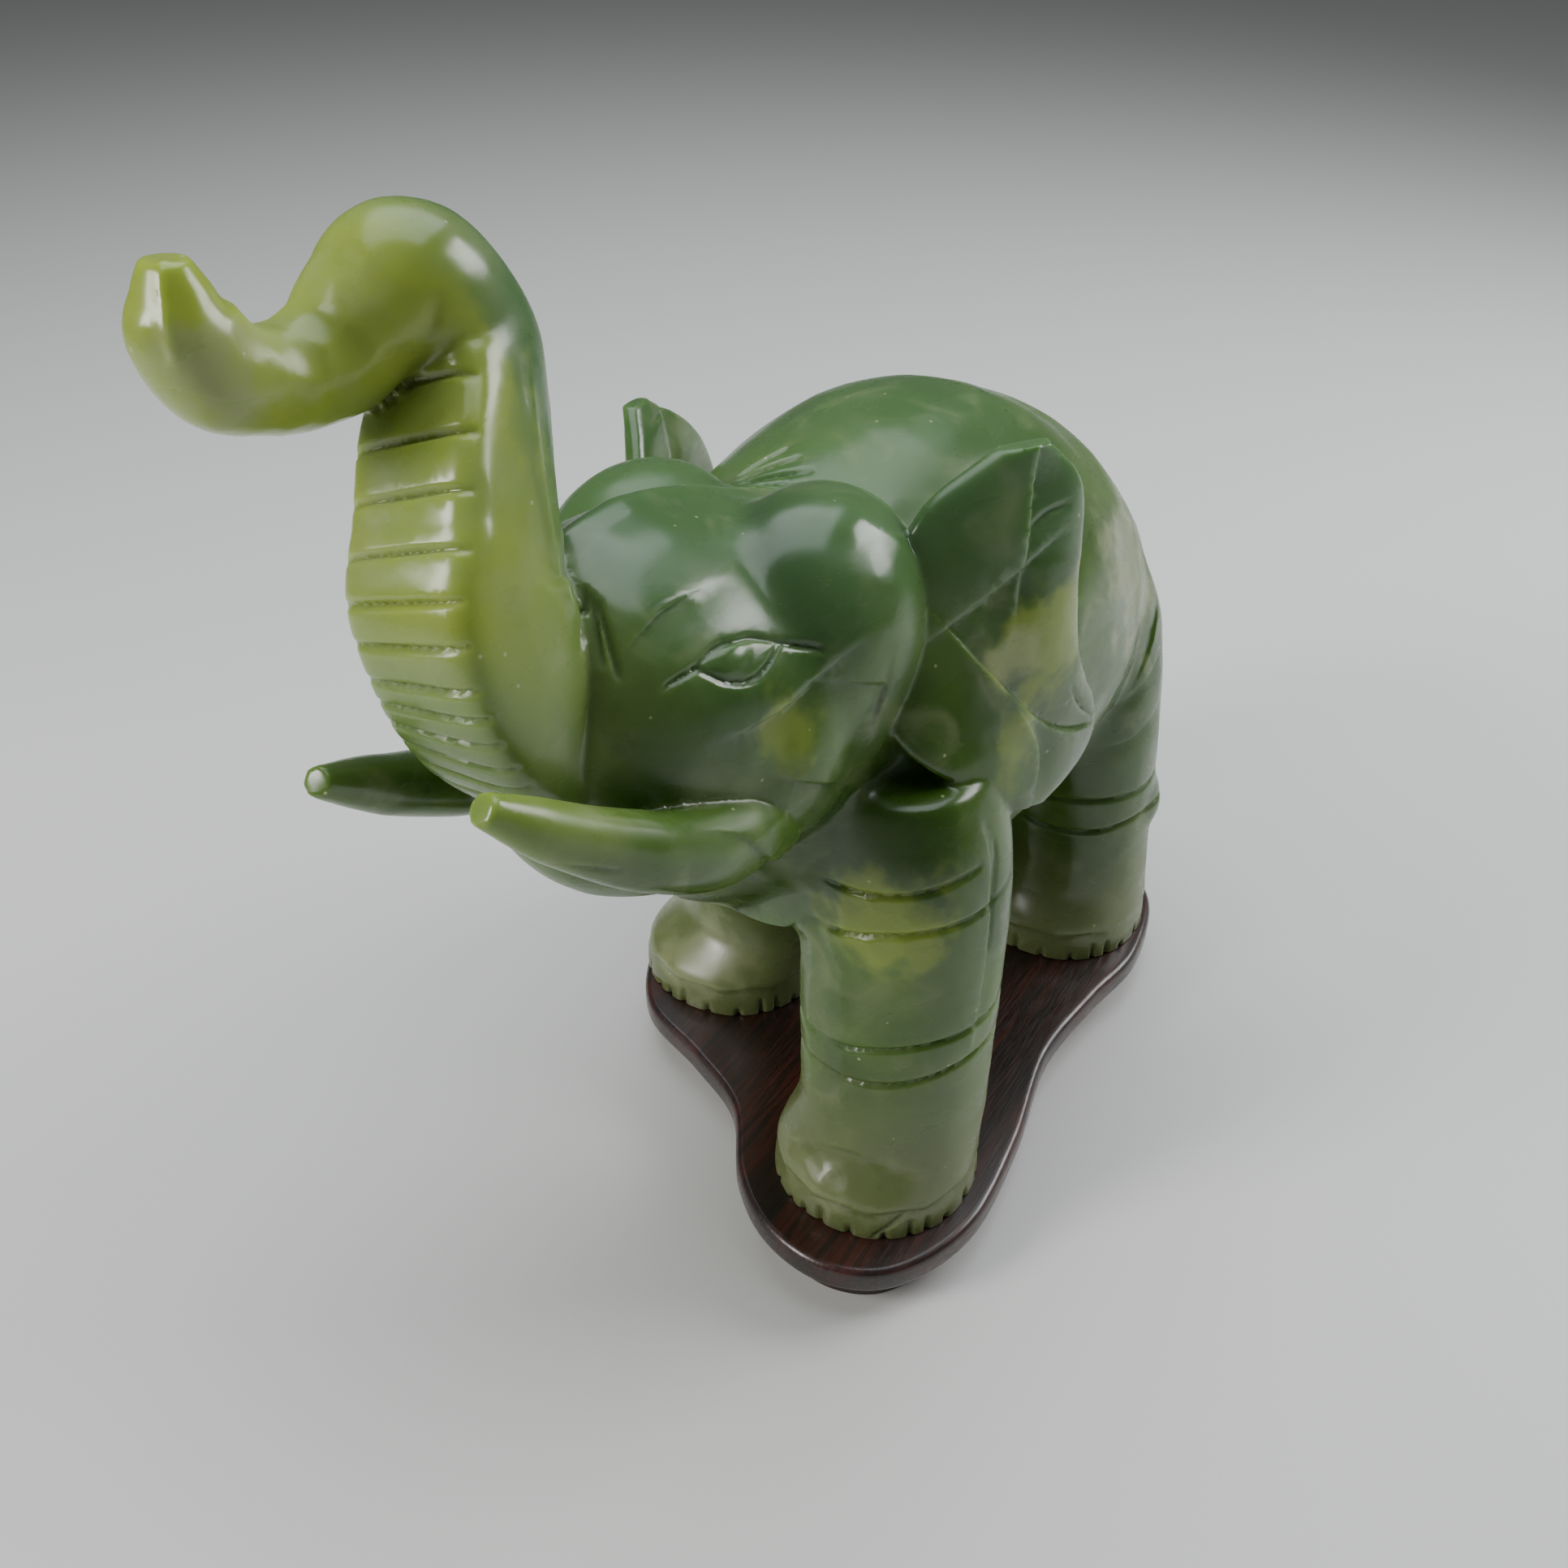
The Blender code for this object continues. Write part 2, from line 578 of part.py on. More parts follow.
def make_elephant():
    """Weld the masses into a smooth core, add the crisper features, carve the lines and thin the facets."""
    masses = [mesh_from(name, fill) for name, fill in MASSES]
    strokes = trunk_strokes() + face_strokes() + body_strokes()
    for foot, ankle, hip, front, thickness, flare, rings in LEGS:
        masses.append(mesh_from("leg", lambda bm: leg(bm, foot, ankle, hip, thickness, flare)))
        strokes += leg_strokes(foot, ankle, hip, front, thickness, flare, rings)
    core = melt("core", masses, CORE_VOXEL, 0.5, 12)
    features = [mesh_from(name, fill) for name, fill in FEATURES]
    stone = melt("stone", [core] + features, FINE_VOXEL, 0.5, 3)
    carve(stone, strokes)
    cut_soles(stone)
    elephant = bpy.data.objects.new("elephant", stone)
    bpy.context.scene.collection.objects.link(elephant)
    thin = elephant.modifiers.new("facets", "DECIMATE")
    thin.ratio = ELEPHANT_TRIANGLES / (2 * len(stone.polygons))
    return elephant


# The stand's plan, corner by corner: a lobe round each foot and a shallow waist between two lobes.
STAND_PLAN = [
    (35, -75.5), (47, -69), (54, -52), (52.5, -28), (47.5, -2), (49, 20), (51.5, 40), (45.5, 62), (28, 73),
    (8, 71), (-10, 73), (-28, 79), (-45, 72), (-53, 54), (-51, 32), (-48, 12), (-49, -4), (-44.5, -21),
    (-34.5, -35), (-17, -42.5), (-2, -50.5), (9, -65), (21, -73.5),
]


def stand_outline(grow=0.0):
    """Round the plan with a closed Catmull-Rom curve, then move it outwards by a distance."""
    corners = np.array(STAND_PLAN, dtype=float)
    before, after, beyond = np.roll(corners, 1, 0), np.roll(corners, -1, 0), np.roll(corners, -2, 0)
    pieces = []
    for t in np.arange(STAND_STEPS) / STAND_STEPS:
        pieces.append(0.5 * (2 * corners + (after - before) * t
                             + (2 * before - 5 * corners + 4 * after - beyond) * t**2
                             + (3 * corners - before - 3 * after + beyond) * t**3))
    curve = np.stack(pieces, axis=1).reshape(-1, 2)
    along = np.roll(curve, -1, 0) - np.roll(curve, 1, 0)
    outward = np.column_stack([along[:, 1], -along[:, 0]])
    outward /= np.linalg.norm(outward, axis=1)[:, None]
    return curve + outward * grow


def make_stand():
    """A plate with a rounded edge on a plinth of the same outline, a little smaller."""
    def fill(bm):
        under_plate = STAND_HEIGHT - PLATE_THICKNESS
        levels = [
            (0.0, -PLINTH_INSET),
            (under_plate - 1.0, -PLINTH_INSET),
            (under_plate, -PLINTH_INSET + 1.5),
            (under_plate + 0.3, -1.2),
            (under_plate + 1.5, 0.0),
            (STAND_HEIGHT - 1.2, 0.0),
            (STAND_HEIGHT, -1.4),
        ]
        rings = []
        for height, grow in levels:
            outline = stand_outline(grow)
            rings.append(np.column_stack([outline, np.full(len(outline), height)]))
        add_loft(bm, rings)
    stand = bpy.data.objects.new("stand", mesh_from("stand", fill))
    bpy.context.scene.collection.objects.link(stand)
    return stand


def material(name, colour, roughness):
    finish = bpy.data.materials.new(name)
    finish.use_nodes = True
    shader = finish.node_tree.nodes["Principled BSDF"]
    shader.inputs["Base Color"].default_value = (*colour, 1.0)
    shader.inputs["Roughness"].default_value = roughness
    shader.inputs["Metallic"].default_value = 0.0
    return finish


clear_scene()
elephant = make_elephant()
elephant.data.materials.append(material("jade", (0.22, 0.42, 0.16), 0.25))
stand = make_stand()
stand.data.materials.append(material("rosewood", (0.05, 0.012, 0.01), 0.3))
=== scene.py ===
# %% [markdown]
# # A jade elephant with its trunk raised
# The real object is one block of green stone, sawn, ground and polished by hand, on a low stand of dark wood.
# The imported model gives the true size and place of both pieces. This script works out a finer skin for each,
# in the same frame, and gives the stone and the wood their finish. Lengths are written in millimetres, as a
# carver would say them, and turned into metres when a mesh is made.

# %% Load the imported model
import json
import math

import bmesh
import bpy
import numpy as np
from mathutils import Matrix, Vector
from mathutils.bvhtree import BVHTree

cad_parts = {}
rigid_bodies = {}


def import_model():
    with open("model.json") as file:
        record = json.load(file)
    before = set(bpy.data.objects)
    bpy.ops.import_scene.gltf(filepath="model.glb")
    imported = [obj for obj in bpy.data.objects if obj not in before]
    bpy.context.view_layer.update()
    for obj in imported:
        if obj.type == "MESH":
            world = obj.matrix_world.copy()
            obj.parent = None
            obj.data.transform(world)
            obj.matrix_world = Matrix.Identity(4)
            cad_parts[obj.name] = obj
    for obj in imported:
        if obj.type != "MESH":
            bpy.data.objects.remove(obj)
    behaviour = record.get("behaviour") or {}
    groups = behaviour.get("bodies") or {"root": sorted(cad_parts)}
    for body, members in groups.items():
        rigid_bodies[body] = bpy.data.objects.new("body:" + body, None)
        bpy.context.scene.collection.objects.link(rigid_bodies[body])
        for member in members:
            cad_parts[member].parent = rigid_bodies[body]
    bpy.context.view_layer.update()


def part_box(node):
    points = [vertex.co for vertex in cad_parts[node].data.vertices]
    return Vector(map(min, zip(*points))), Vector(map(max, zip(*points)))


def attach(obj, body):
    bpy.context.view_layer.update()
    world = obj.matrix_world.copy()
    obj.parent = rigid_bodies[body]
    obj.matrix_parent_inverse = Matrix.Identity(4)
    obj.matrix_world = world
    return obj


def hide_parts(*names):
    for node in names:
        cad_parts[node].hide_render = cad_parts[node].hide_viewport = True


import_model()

MM = 0.001

# %% [markdown]
# ## Smooth curves through a few stations
# A carver sets out a leg or a trunk by its thickness at a few heights and blends between them. A Catmull-Rom
# spline does the same with numbers: it passes through every row of a table, and runs smoothly in between.

# %% Curve through a table
def smooth_rows(rows, count):
    """Catmull-Rom spline in every column: half of 2b + (c-a)t + (2a-5b+4c-d)t2 + (3b-a-3c+d)t3."""
    table = np.array(rows, dtype=float)
    padded = np.vstack([2 * table[0] - table[1], table, 2 * table[-1] - table[-2]])
    place = np.linspace(0.0, len(table) - 1.0, count)
    first = np.minimum(place.astype(int), len(table) - 2)
    t = (place - first)[:, None]
    a, b, c, d = (padded[first + k] for k in range(4))
    return 0.5 * (2 * b + (c - a) * t + (2 * a - 5 * b + 4 * c - d) * t**2 + (3 * b - a - 3 * c + d) * t**3)


def path_frames(points, side_hint):
    """Side and up directions square to a path.

    The side is the hint less its part along the tangent, and up is the cross product of the two.
    """
    hint = np.array(side_hint, dtype=float)
    tangent = np.gradient(points, axis=0)
    tangent /= np.linalg.norm(tangent, axis=1)[:, None]
    side = hint - tangent * (tangent @ hint)[:, None]
    side /= np.linalg.norm(side, axis=1)[:, None]
    return side, np.cross(side, tangent)


# %% [markdown]
# ## A profile carried along a path
# Legs, trunk, tusks, tail, body and head are all a rounded cross-section that changes as it goes along a path.
# The section is a superellipse: a power of 2 gives an ellipse, more a rounded square, less a ridge. It has its
# own height above and below its centre, so that the trunk can be flat in front and ridged behind.

# %% Rounded section and loft
def section(angles, half_width, up, down, power_up, power_down, pinch):
    """x = sign(cos) |cos|^(2/p) half_width, y = sign(sin) |sin|^(2/p) height; pinch narrows x where y is up."""
    c, s = np.cos(angles), np.sin(angles)
    power = np.where(s > 0, power_up, power_down)
    y = np.sign(s) * np.abs(s) ** (2.0 / power)
    x = np.sign(c) * np.abs(c) ** (2.0 / power) * half_width * (1.0 - pinch * np.clip(y, 0.0, 1.0))
    return x, np.where(y > 0, y * up, y * down)


def carried(rows, count, segments, side_hint=(1, 0, 0)):
    """A grid of points, stations by angles: station + x side + y up, with x and y from the section there."""
    table = smooth_rows(rows, count)
    side, up = path_frames(table[:, :3], side_hint)
    angles = np.linspace(0.0, 2 * math.pi, segments, endpoint=False)[None, :]
    x, y = section(angles, *(table[:, k:k + 1] for k in range(3, 9)))
    return table[:, None, :3] + x[..., None] * side[:, None] + y[..., None] * up[:, None]


def round_rows(rows):
    """Rows of x, y, z, radius, as rows for a round section."""
    return [(x, y, z, r, r, r, 2, 2, 0) for x, y, z, r in rows]


def ball(centre, radii, rows=24, segments=36):
    """An ellipsoid as a grid: centre + radii times (sin a cos b, sin a sin b, cos a)."""
    a = np.linspace(0.04, math.pi - 0.04, rows)[:, None]
    b = np.linspace(0.0, 2 * math.pi, segments, endpoint=False)[None, :]
    unit = np.stack([np.sin(a) * np.cos(b), np.sin(a) * np.sin(b), np.cos(a) * np.ones_like(b)], axis=-1)
    return np.array(centre) + unit * np.array(radii)


# %% [markdown]
# ## From grids to one skin
# Each grid becomes a closed shell: quads between neighbouring rings, and one cap at either end. Several shells
# go into one mesh, and a voxel remesh welds them into a single skin, as if they had been cut from one block.
# A few rounds of smoothing then wear the seams down.

# %% Shells, weld and mesh arrays
def shell_mesh(name, grids):
    """One mesh that holds a closed shell for each grid of rings."""
    points, faces, first = [], [], 0
    for grid in grids:
        rows, columns = grid.shape[:2]
        i = first + np.arange(rows - 1)[:, None] * columns
        j = np.arange(columns)[None, :]
        k = (j + 1) % columns
        quads = np.stack([i + j, i + k, i + columns + k, i + columns + j], axis=-1)
        faces += quads.reshape(-1, 4).tolist()
        faces.append((first + np.arange(columns)[::-1]).tolist())
        faces.append((first + (rows - 1) * columns + np.arange(columns)).tolist())
        points.append(grid.reshape(-1, 3))
        first += rows * columns
    mesh = bpy.data.meshes.new(name)
    mesh.from_pydata(np.concatenate(points) * MM, [], faces)
    return mesh


def evaluated(name, mesh, modifiers):
    """The mesh as it is after a list of modifiers, each a type and its settings."""
    helper = bpy.data.objects.new(name, mesh)
    bpy.context.scene.collection.objects.link(helper)
    for kind, settings in modifiers:
        modifier = helper.modifiers.new(kind.lower(), kind)
        for key, value in settings.items():
            setattr(modifier, key, value)
    graph = bpy.context.evaluated_depsgraph_get()
    result = bpy.data.meshes.new_from_object(helper.evaluated_get(graph))
    bpy.data.objects.remove(helper, do_unlink=True)
    return result


def weld(name, mesh, voxel, steps):
    """Weld the shells in a mesh into one skin of voxels, then smooth it a number of times."""
    remesh = ("REMESH", {"mode": "VOXEL", "voxel_size": voxel * MM})
    smooth = ("SMOOTH", {"factor": 0.5, "iterations": steps})
    welded = evaluated(name, mesh, [remesh, smooth])
    print(name, "welded:", len(welded.vertices), "points")
    return welded


def read_array(mesh, name, width=3):
    """A property of every vertex, as an array of rows."""
    values = np.empty(len(mesh.vertices) * width)
    mesh.vertices.foreach_get(name, values)
    return values.reshape(-1, width)


# %% [markdown]
# ## The body and its muscles
# The barrel of the body is carried from the chest to the rump, nearly round in section and fullest over the
# belly. Shoulders, haunches and hocks are ellipsoids that swell out of it. The tail hangs against the right
# hind leg, because a carver leaves no thin piece of stone free.

# %% Body, muscles and tail
# y, centre z, half width, up, down, power up
BODY = [
    (-64, 92, 14, 18, 14, 2.0),
    (-58, 92, 25, 28, 22, 2.0),
    (-46, 93, 34, 40, 30, 2.0),
    (-30, 95, 39.5, 47, 33, 2.0),
    (-10, 96, 43, 51, 34, 2.0),
    (10, 96, 44, 51.8, 34, 2.0),
    (30, 93, 42.4, 47, 31, 2.0),
    (42, 90, 40.5, 42.5, 28, 2.0),
    (54, 86, 36.8, 36.5, 26, 2.0),
    (64, 81, 31, 29.5, 24, 2.0),
    (71, 76, 21.5, 21, 18, 2.0),
    (75, 73, 9, 10, 9, 2.0),
]

# Centre and radii of each muscle
MUSCLES = [
    ((32, -35, 88), (11.5, 19, 25)),
    ((-31, -24, 92), (11, 17, 20)),
    ((30, 42, 83), (11.6, 20, 26)),
    ((-30, 46, 83), (11.6, 20, 26)),
    ((34, 51, 45), (13.5, 13, 11)),
    ((-34, 56, 45), (13.5, 13, 11)),
]

# x, y, z, radius
TAIL = [
    (0, 62, 112, 5.5),
    (0, 70, 101, 4.9),
    (-1, 75, 88, 4.3),
    (-5, 75.8, 75, 4.1),
    (-10.5, 74, 62, 4.5),
    (-15, 72.5, 50, 5.0),
    (-17, 71.5, 41, 3.4),
]

body_rows = [(0, y, z, w, up, down, power, 2.3, 0) for y, z, w, up, down, power in BODY]
core_grids = [carried(body_rows, 90, 96), carried(round_rows(TAIL), 50, 28)]
core_grids += [ball(centre, radii) for centre, radii in MUSCLES]
print("body, tail and muscles:", len(core_grids), "forms")

# %% [markdown]
# ## Four thick legs
# Each leg rises from a sole that stands a little forward of its ankle, flares over the toes and leads up to the
# hip. It starts below the sole and is cut flat later, so that the animal stands without rocking.

# %% Legs
SOLE = 13.3
LEG_RADIUS = 18.5
BAND_HEIGHT = 7.0
ANKLE_HEIGHT = 18.0
HIP_HEIGHT = 93.0

# Height over the sole, width and depth factors
LEG = [
    (-6, 1.08, 1.08),
    (0, 1.07, 1.07),
    (7, 1.06, 1.06),
    (11, 1.01, 1.01),
    (17, 0.965, 0.965),
    (28, 0.96, 0.96),
    (42, 0.985, 0.985),
    (56, 0.985, 0.985),
    (70, 0.96, 1.0),
    (82, 0.88, 0.96),
    (93, 0.66, 0.8),
]

# Each leg: foot, ankle and hip in plan, the way it faces in degrees, thickness, flare of the foot, rings
FRONT_LEFT = (30.5, -47.5)
FRONT_RIGHT = (-26.5, -11.0)
HIND_LEFT = (28.5, 45.0)
HIND_RIGHT = (-28.5, 50.0)
LEGS = [
    (FRONT_LEFT, (31.5, -43.5), (31.5, -42), -80, 1.0, 0.0, 4),
    (FRONT_RIGHT, (-21.5, -6), (-26, -24), -100, 0.9, 0.12, 3),
    (HIND_LEFT, (29.5, 47.5), (25.5, 43), -80, 0.98, 0.04, 2),
    (HIND_RIGHT, (-28.5, 53), (-25.5, 44), -100, 0.98, 0.04, 2),
]


def leg_grid(foot, ankle, hip, thickness, flare):
    """Level rings round ankle + rise (hip - ankle) + toe (foot - ankle). Toe is 1 at the sole, 0 at the ankle."""
    height, width, depth = np.array(LEG, dtype=float).T[:, :, None]
    toe = np.clip(1 - (height - BAND_HEIGHT) / (ANKLE_HEIGHT - BAND_HEIGHT), 0, 1)
    rise = np.clip((height - ANKLE_HEIGHT) / (HIP_HEIGHT - ANKLE_HEIGHT), 0, 1)
    foot, ankle, hip = (np.array([place], dtype=float) for place in (foot, ankle, hip))
    plan = ankle + (hip - ankle) * rise + (foot - ankle) * toe
    radius = LEG_RADIUS * (thickness + flare * toe)
    rows = smooth_rows(np.hstack([plan, SOLE + height, radius * width, radius * depth]), 80)
    x, y, z, half_width, half_depth = rows.T[:, :, None]
    angles = np.linspace(0.0, 2 * math.pi, 72, endpoint=False)[None, :]
    across, along = section(angles, half_width, half_depth, half_depth, 2.15, 2.15, 0)
    return np.stack([x + across, y + along, z + 0 * across], axis=-1)


for foot, ankle, hip, front, thickness, flare, rings in LEGS:
    core_grids.append(leg_grid(foot, ankle, hip, thickness, flare))
print("with legs:", len(core_grids), "forms")

# %% [markdown]
# ## The head
# The skull runs from the neck to the face with a soft ridge along its middle, a dome on either side of the crown
# and full cheeks. The whole head is rolled a few degrees, left side up, which gives the animal its glance.

# %% Head and jaw
HEAD_ROLL = math.radians(6.0)
ROLL_HEIGHT = 125.0
BACKWARDS = (-1, 0, 0)


def roll_head(points):
    """Turn points about the lengthwise axis at the height of the cheeks."""
    c, s = math.cos(HEAD_ROLL), math.sin(HEAD_ROLL)
    x, y, z = np.moveaxis(np.array(points, dtype=float), -1, 0)
    z = z - ROLL_HEIGHT
    return np.stack([x * c - z * s, y, x * s + z * c + ROLL_HEIGHT], axis=-1)


# y, ridge z, widest z, bottom z, half width, power up, power down
HEAD = [
    (-14, 136, 110, 80, 26, 2.0, 2.0),
    (-26, 141, 115, 82, 30, 2.0, 2.0),
    (-38, 144.5, 119, 84, 31.5, 2.0, 2.0),
    (-50, 148, 123, 87, 31.5, 1.9, 1.9),
    (-62, 152.5, 127, 89, 30, 1.7, 1.8),
    (-73, 156, 130, 93, 27.5, 1.6, 1.8),
    (-83, 158.5, 134, 100, 24, 1.6, 1.8),
    (-91, 159, 138, 110, 19, 1.7, 2.0),
    (-97, 156.5, 141, 120, 13, 1.8, 2.0),
]

# y, z, half width, up, down
JAW = [
    (-50, 97, 14, 12, 12),
    (-62, 98, 13.5, 10, 11),
    (-74, 100, 12, 9, 9),
    (-83, 104.2, 9.5, 8, 7.2),
    (-90.5, 108.6, 6.5, 5.5, 4.8),
    (-95, 111.3, 3.2, 3, 2.5),
]

# Centre and radii of the dome and the cheek on the left side
SKULL = [
    ((16, -50, 129.5), (18, 23, 23)),
    ((17, -65, 117), (12.5, 18, 18)),
]

skull_rows = [(0, y, mid, w, top - mid, mid - low, up, down, 0) for y, top, mid, low, w, up, down in HEAD]
jaw_rows = [(0, y, z, w, up, down, 2, 2, 0) for y, z, w, up, down in JAW]
core_grids.append(roll_head(carried(skull_rows, 70, 96, BACKWARDS)))
core_grids.append(roll_head(carried(jaw_rows, 50, 48, BACKWARDS)))
for (x, y, z), radii in SKULL:
    core_grids += [ball(roll_head((side * x, y, z)), radii) for side in (-1, 1)]
print("with head:", len(core_grids), "forms")

# %% [markdown]
# ## Weld the core
# These large forms are welded first and softened most, so that shoulder runs into neck and cheek into brow
# without a seam, as they do where a grinding wheel has passed over all of them.

# %% Core skin
CORE_VOXEL = 1.0
CORE_SMOOTHING = 27

core = weld("core", shell_mesh("core", core_grids), CORE_VOXEL, CORE_SMOOTHING)

# %% [markdown]
# ## Trunk, tusks, ears and eyes
# The crisper features are made apart and welded on afterwards with little smoothing. The trunk is a rounded
# square column with a flat front. It rises, arches forward and curls up at its tip. The tusks are blunt cones
# that curve up. An ear is a leaf of stone hung from the head, thick in the middle and thin at its edge.

# %% Trunk
TRUNK_STATIONS = 220

# x, y, z, half width, dorsal, ventral, dorsal power, ventral power, pinch
TRUNK = [
    (0, -78, 118, 11, 15, 12, 2.4, 3.0, 0.1),
    (-0.3, -90, 126, 11.5, 14.5, 12.5, 2.6, 4.0, 0.15),
    (-0.6, -99, 134, 11.7, 14.5, 12.5, 3.0, 5.0, 0.15),
    (0, -105, 144.2, 11.6, 15, 11.8, 3.0, 6.0, 0.15),
    (-1.3, -105.8, 155.3, 11.4, 15.5, 11.4, 3.0, 6.0, 0.15),
    (-3.1, -101.8, 162.2, 11.1, 14.8, 11, 3.0, 6.0, 0.15),
    (-5.5, -96.5, 170, 10.8, 13, 10.6, 2.8, 6.0, 0.15),
    (-8.1, -91.2, 177.2, 10.3, 11.4, 10, 2.5, 5.0, 0.1),
    (-10, -88.5, 184.5, 10.2, 10.4, 10, 2.2, 3.0, 0.05),
    (-12, -93.6, 192.2, 10.6, 10.6, 10.6, 2.1, 2.2, 0),
    (-13.6, -99.6, 190.5, 9.6, 8.6, 10.2, 2.1, 2.1, 0),
    (-15, -105.4, 187.2, 8.2, 6.8, 8.6, 2.1, 2.1, 0),
    (-16.2, -111.3, 186, 7.2, 6.4, 7.3, 2.1, 2.1, 0),
    (-16.6, -116.9, 187, 6.9, 6.4, 6.9, 2.1, 2.1, 0),
    (-16.8, -121.6, 189.5, 7.1, 7.0, 7.0, 2.1, 2.1, 0),
    (-16.7, -124.6, 195, 6.4, 6.6, 6.0, 2.1, 2.1, 0),
    (-16.3, -124.9, 199.5, 4.8, 4.8, 3.8, 2.1, 2.1, 0),
    (-15.9, -124.9, 203, 3.0, 3.0, 2.2, 2.1, 2.1, 0),
]

trunk_grid = carried(TRUNK, TRUNK_STATIONS, 96, BACKWARDS)
feature_grids = [roll_head(trunk_grid)]
print("trunk grid:", trunk_grid.shape)

# %% Tusks and eyes
# x, y, z, radius
LEFT_TUSK = [
    (19, -72, 107.5, 6.8),
    (21, -84, 111, 6.6),
    (21.3, -96, 116, 6.1),
    (20.3, -108, 124, 5.3),
    (18.5, -119, 133, 4.0),
    (16.7, -126.5, 140, 2.3),
]
RIGHT_TUSK = [
    (-19, -74, 109, 6.6),
    (-19.8, -86, 113.5, 6.1),
    (-20, -97, 118, 5.6),
    (-19.3, -107.5, 123.5, 4.9),
    (-17.8, -117, 129.5, 3.8),
    (-16.2, -124.5, 134.3, 2.2),
]

EYE_PLACE = (19.8, -78.5, 137.5)
EYE_RADII = (4, 6.5, 4.2)

feature_grids += [roll_head(carried(round_rows(table), 70, 48)) for table in (LEFT_TUSK, RIGHT_TUSK)]
feature_grids += [ball(roll_head(np.array(EYE_PLACE) * (side, 1, 1)), EYE_RADII) for side in (-1, 1)]
print("tusks and eyes added")

# %% [markdown]
# An ear is easiest to think of as rows that run from its root to its free edge. Each row gives both ends, the
# thickness and how far the leaf bulges, and the section across it is a flat superellipse.

# %% Ears
# root x, y, z, edge x, y, z, thickness, bulge
LEFT_EAR = [
    (38, -27, 153, 43.5, -19, 152.5, 2.0, 0.0),
    (31, -38, 147, 45, -13, 146, 2.6, 1.0),
    (28.5, -43, 138, 45.5, -11, 139, 3.0, 2.0),
    (27.5, -46, 127, 45, -12, 127, 3.4, 2.5),
    (28, -49, 119, 44.5, -11, 114, 3.6, 2.5),
    (31, -51, 112, 43.5, -5, 104, 3.6, 2.5),
    (35.5, -48.5, 106, 42.5, 2, 93, 3.4, 2.0),
    (39.5, -41, 98, 42, -4, 86.5, 3.0, 1.0),
    (41.5, -33, 91, 42, -22, 86.5, 2.4, 0.0),
]
RIGHT_EAR = [
    (38.5, -22, 150.5, 40, -15, 150.5, 2.0, 0.0),
    (35, -26, 146, 42, -6, 145, 2.6, 0.5),
    (30, -34, 137, 44, 3, 138, 3.0, 1.5),
    (27.5, -42, 127, 46, 10, 129, 3.4, 2.5),
    (28, -46, 119, 46, 12, 118, 3.6, 3.5),
    (31, -48, 112, 45, 10, 107, 3.6, 3.5),
    (35, -46, 105, 44, 5, 97, 3.4, 2.5),
    (39, -39, 97, 43.5, -5, 88, 3.0, 1.0),
    (42, -30, 91, 43, -22, 86.5, 2.4, 0.0),
]


def ear_grid(table, side):
    """Middle of root and edge + x along the row + (y + bulge (1 - x2 / half2)) outwards, for a flat section."""
    rows = smooth_rows(table, 90)
    root, edge = rows[:, :3] * (side, 1, 1), rows[:, 3:6] * (side, 1, 1)
    middle, reach = (root + edge) / 2, (edge - root) / 2
    half = np.linalg.norm(reach, axis=1)[:, None]
    along = reach / half
    out = np.cross(along, (0, 0, 1.0))
    out *= (np.sign(out[:, 0]) * side / np.linalg.norm(out, axis=1))[:, None]
    angles = np.linspace(0.0, 2 * math.pi, 80, endpoint=False)[None, :]
    x, y = section(angles, half, rows[:, 6:7], rows[:, 6:7], 2.6, 2.6, 0)
    y = y + rows[:, 7:8] * (1 - (x / half) ** 2)
    return middle[:, None] + x[..., None] * along[:, None] + y[..., None] * out[:, None]


feature_grids += [roll_head(ear_grid(LEFT_EAR, 1)), roll_head(ear_grid(RIGHT_EAR, -1))]
print("ears added, features:", len(feature_grids))

# %% [markdown]
# ## Weld the whole stone
# The core and the features are welded once more with fine voxels. The sole of each foot is cut flat by laying
# every point that is too low on the plane of the sole.

# %% Whole skin
FINE_VOXEL = 0.5
FINE_SMOOTHING = 4


def joined(name, meshes):
    """Several meshes as one."""
    points, faces, first = [], [], 0
    for mesh in meshes:
        points.append(read_array(mesh, "co"))
        faces += [[first + index for index in face.vertices] for face in mesh.polygons]
        first += len(mesh.vertices)
    made = bpy.data.meshes.new(name)
    made.from_pydata(np.concatenate(points), [], faces)
    return made


features = shell_mesh("features", feature_grids)
stone = weld("stone", joined("stone", [core, features]), FINE_VOXEL, FINE_SMOOTHING)

# %% [markdown]
# ## Lines that the carver cut
# Trunk rings, eyelids, wrinkles and the grooves between the toes are all cut with the rim of a small wheel. Each
# is a line in the air beside the stone: it is laid on the nearest skin, and the stone beside it is sunk by a bell
# curve of the distance. Where one fold lies over another, as on the ear, only the stone on one side of the line
# is sunk, and over a wider strip. The same distance says later where dust has settled.

# %% Lay a line on the skin and press it in
# Distance in mm between the points at which a line is laid, less than half the width of the finest groove
LAID_STEP = 0.2


def bowed(start, end, bow=(0, 0, 0)):
    """A line between two ends, bowed to one side: start + t (end - start) + sin(pi t) bow."""
    t = np.linspace(0, 1, 9)[:, None]
    return np.array(start) + t * np.subtract(end, start) + np.sin(math.pi * t) * np.array(bow)


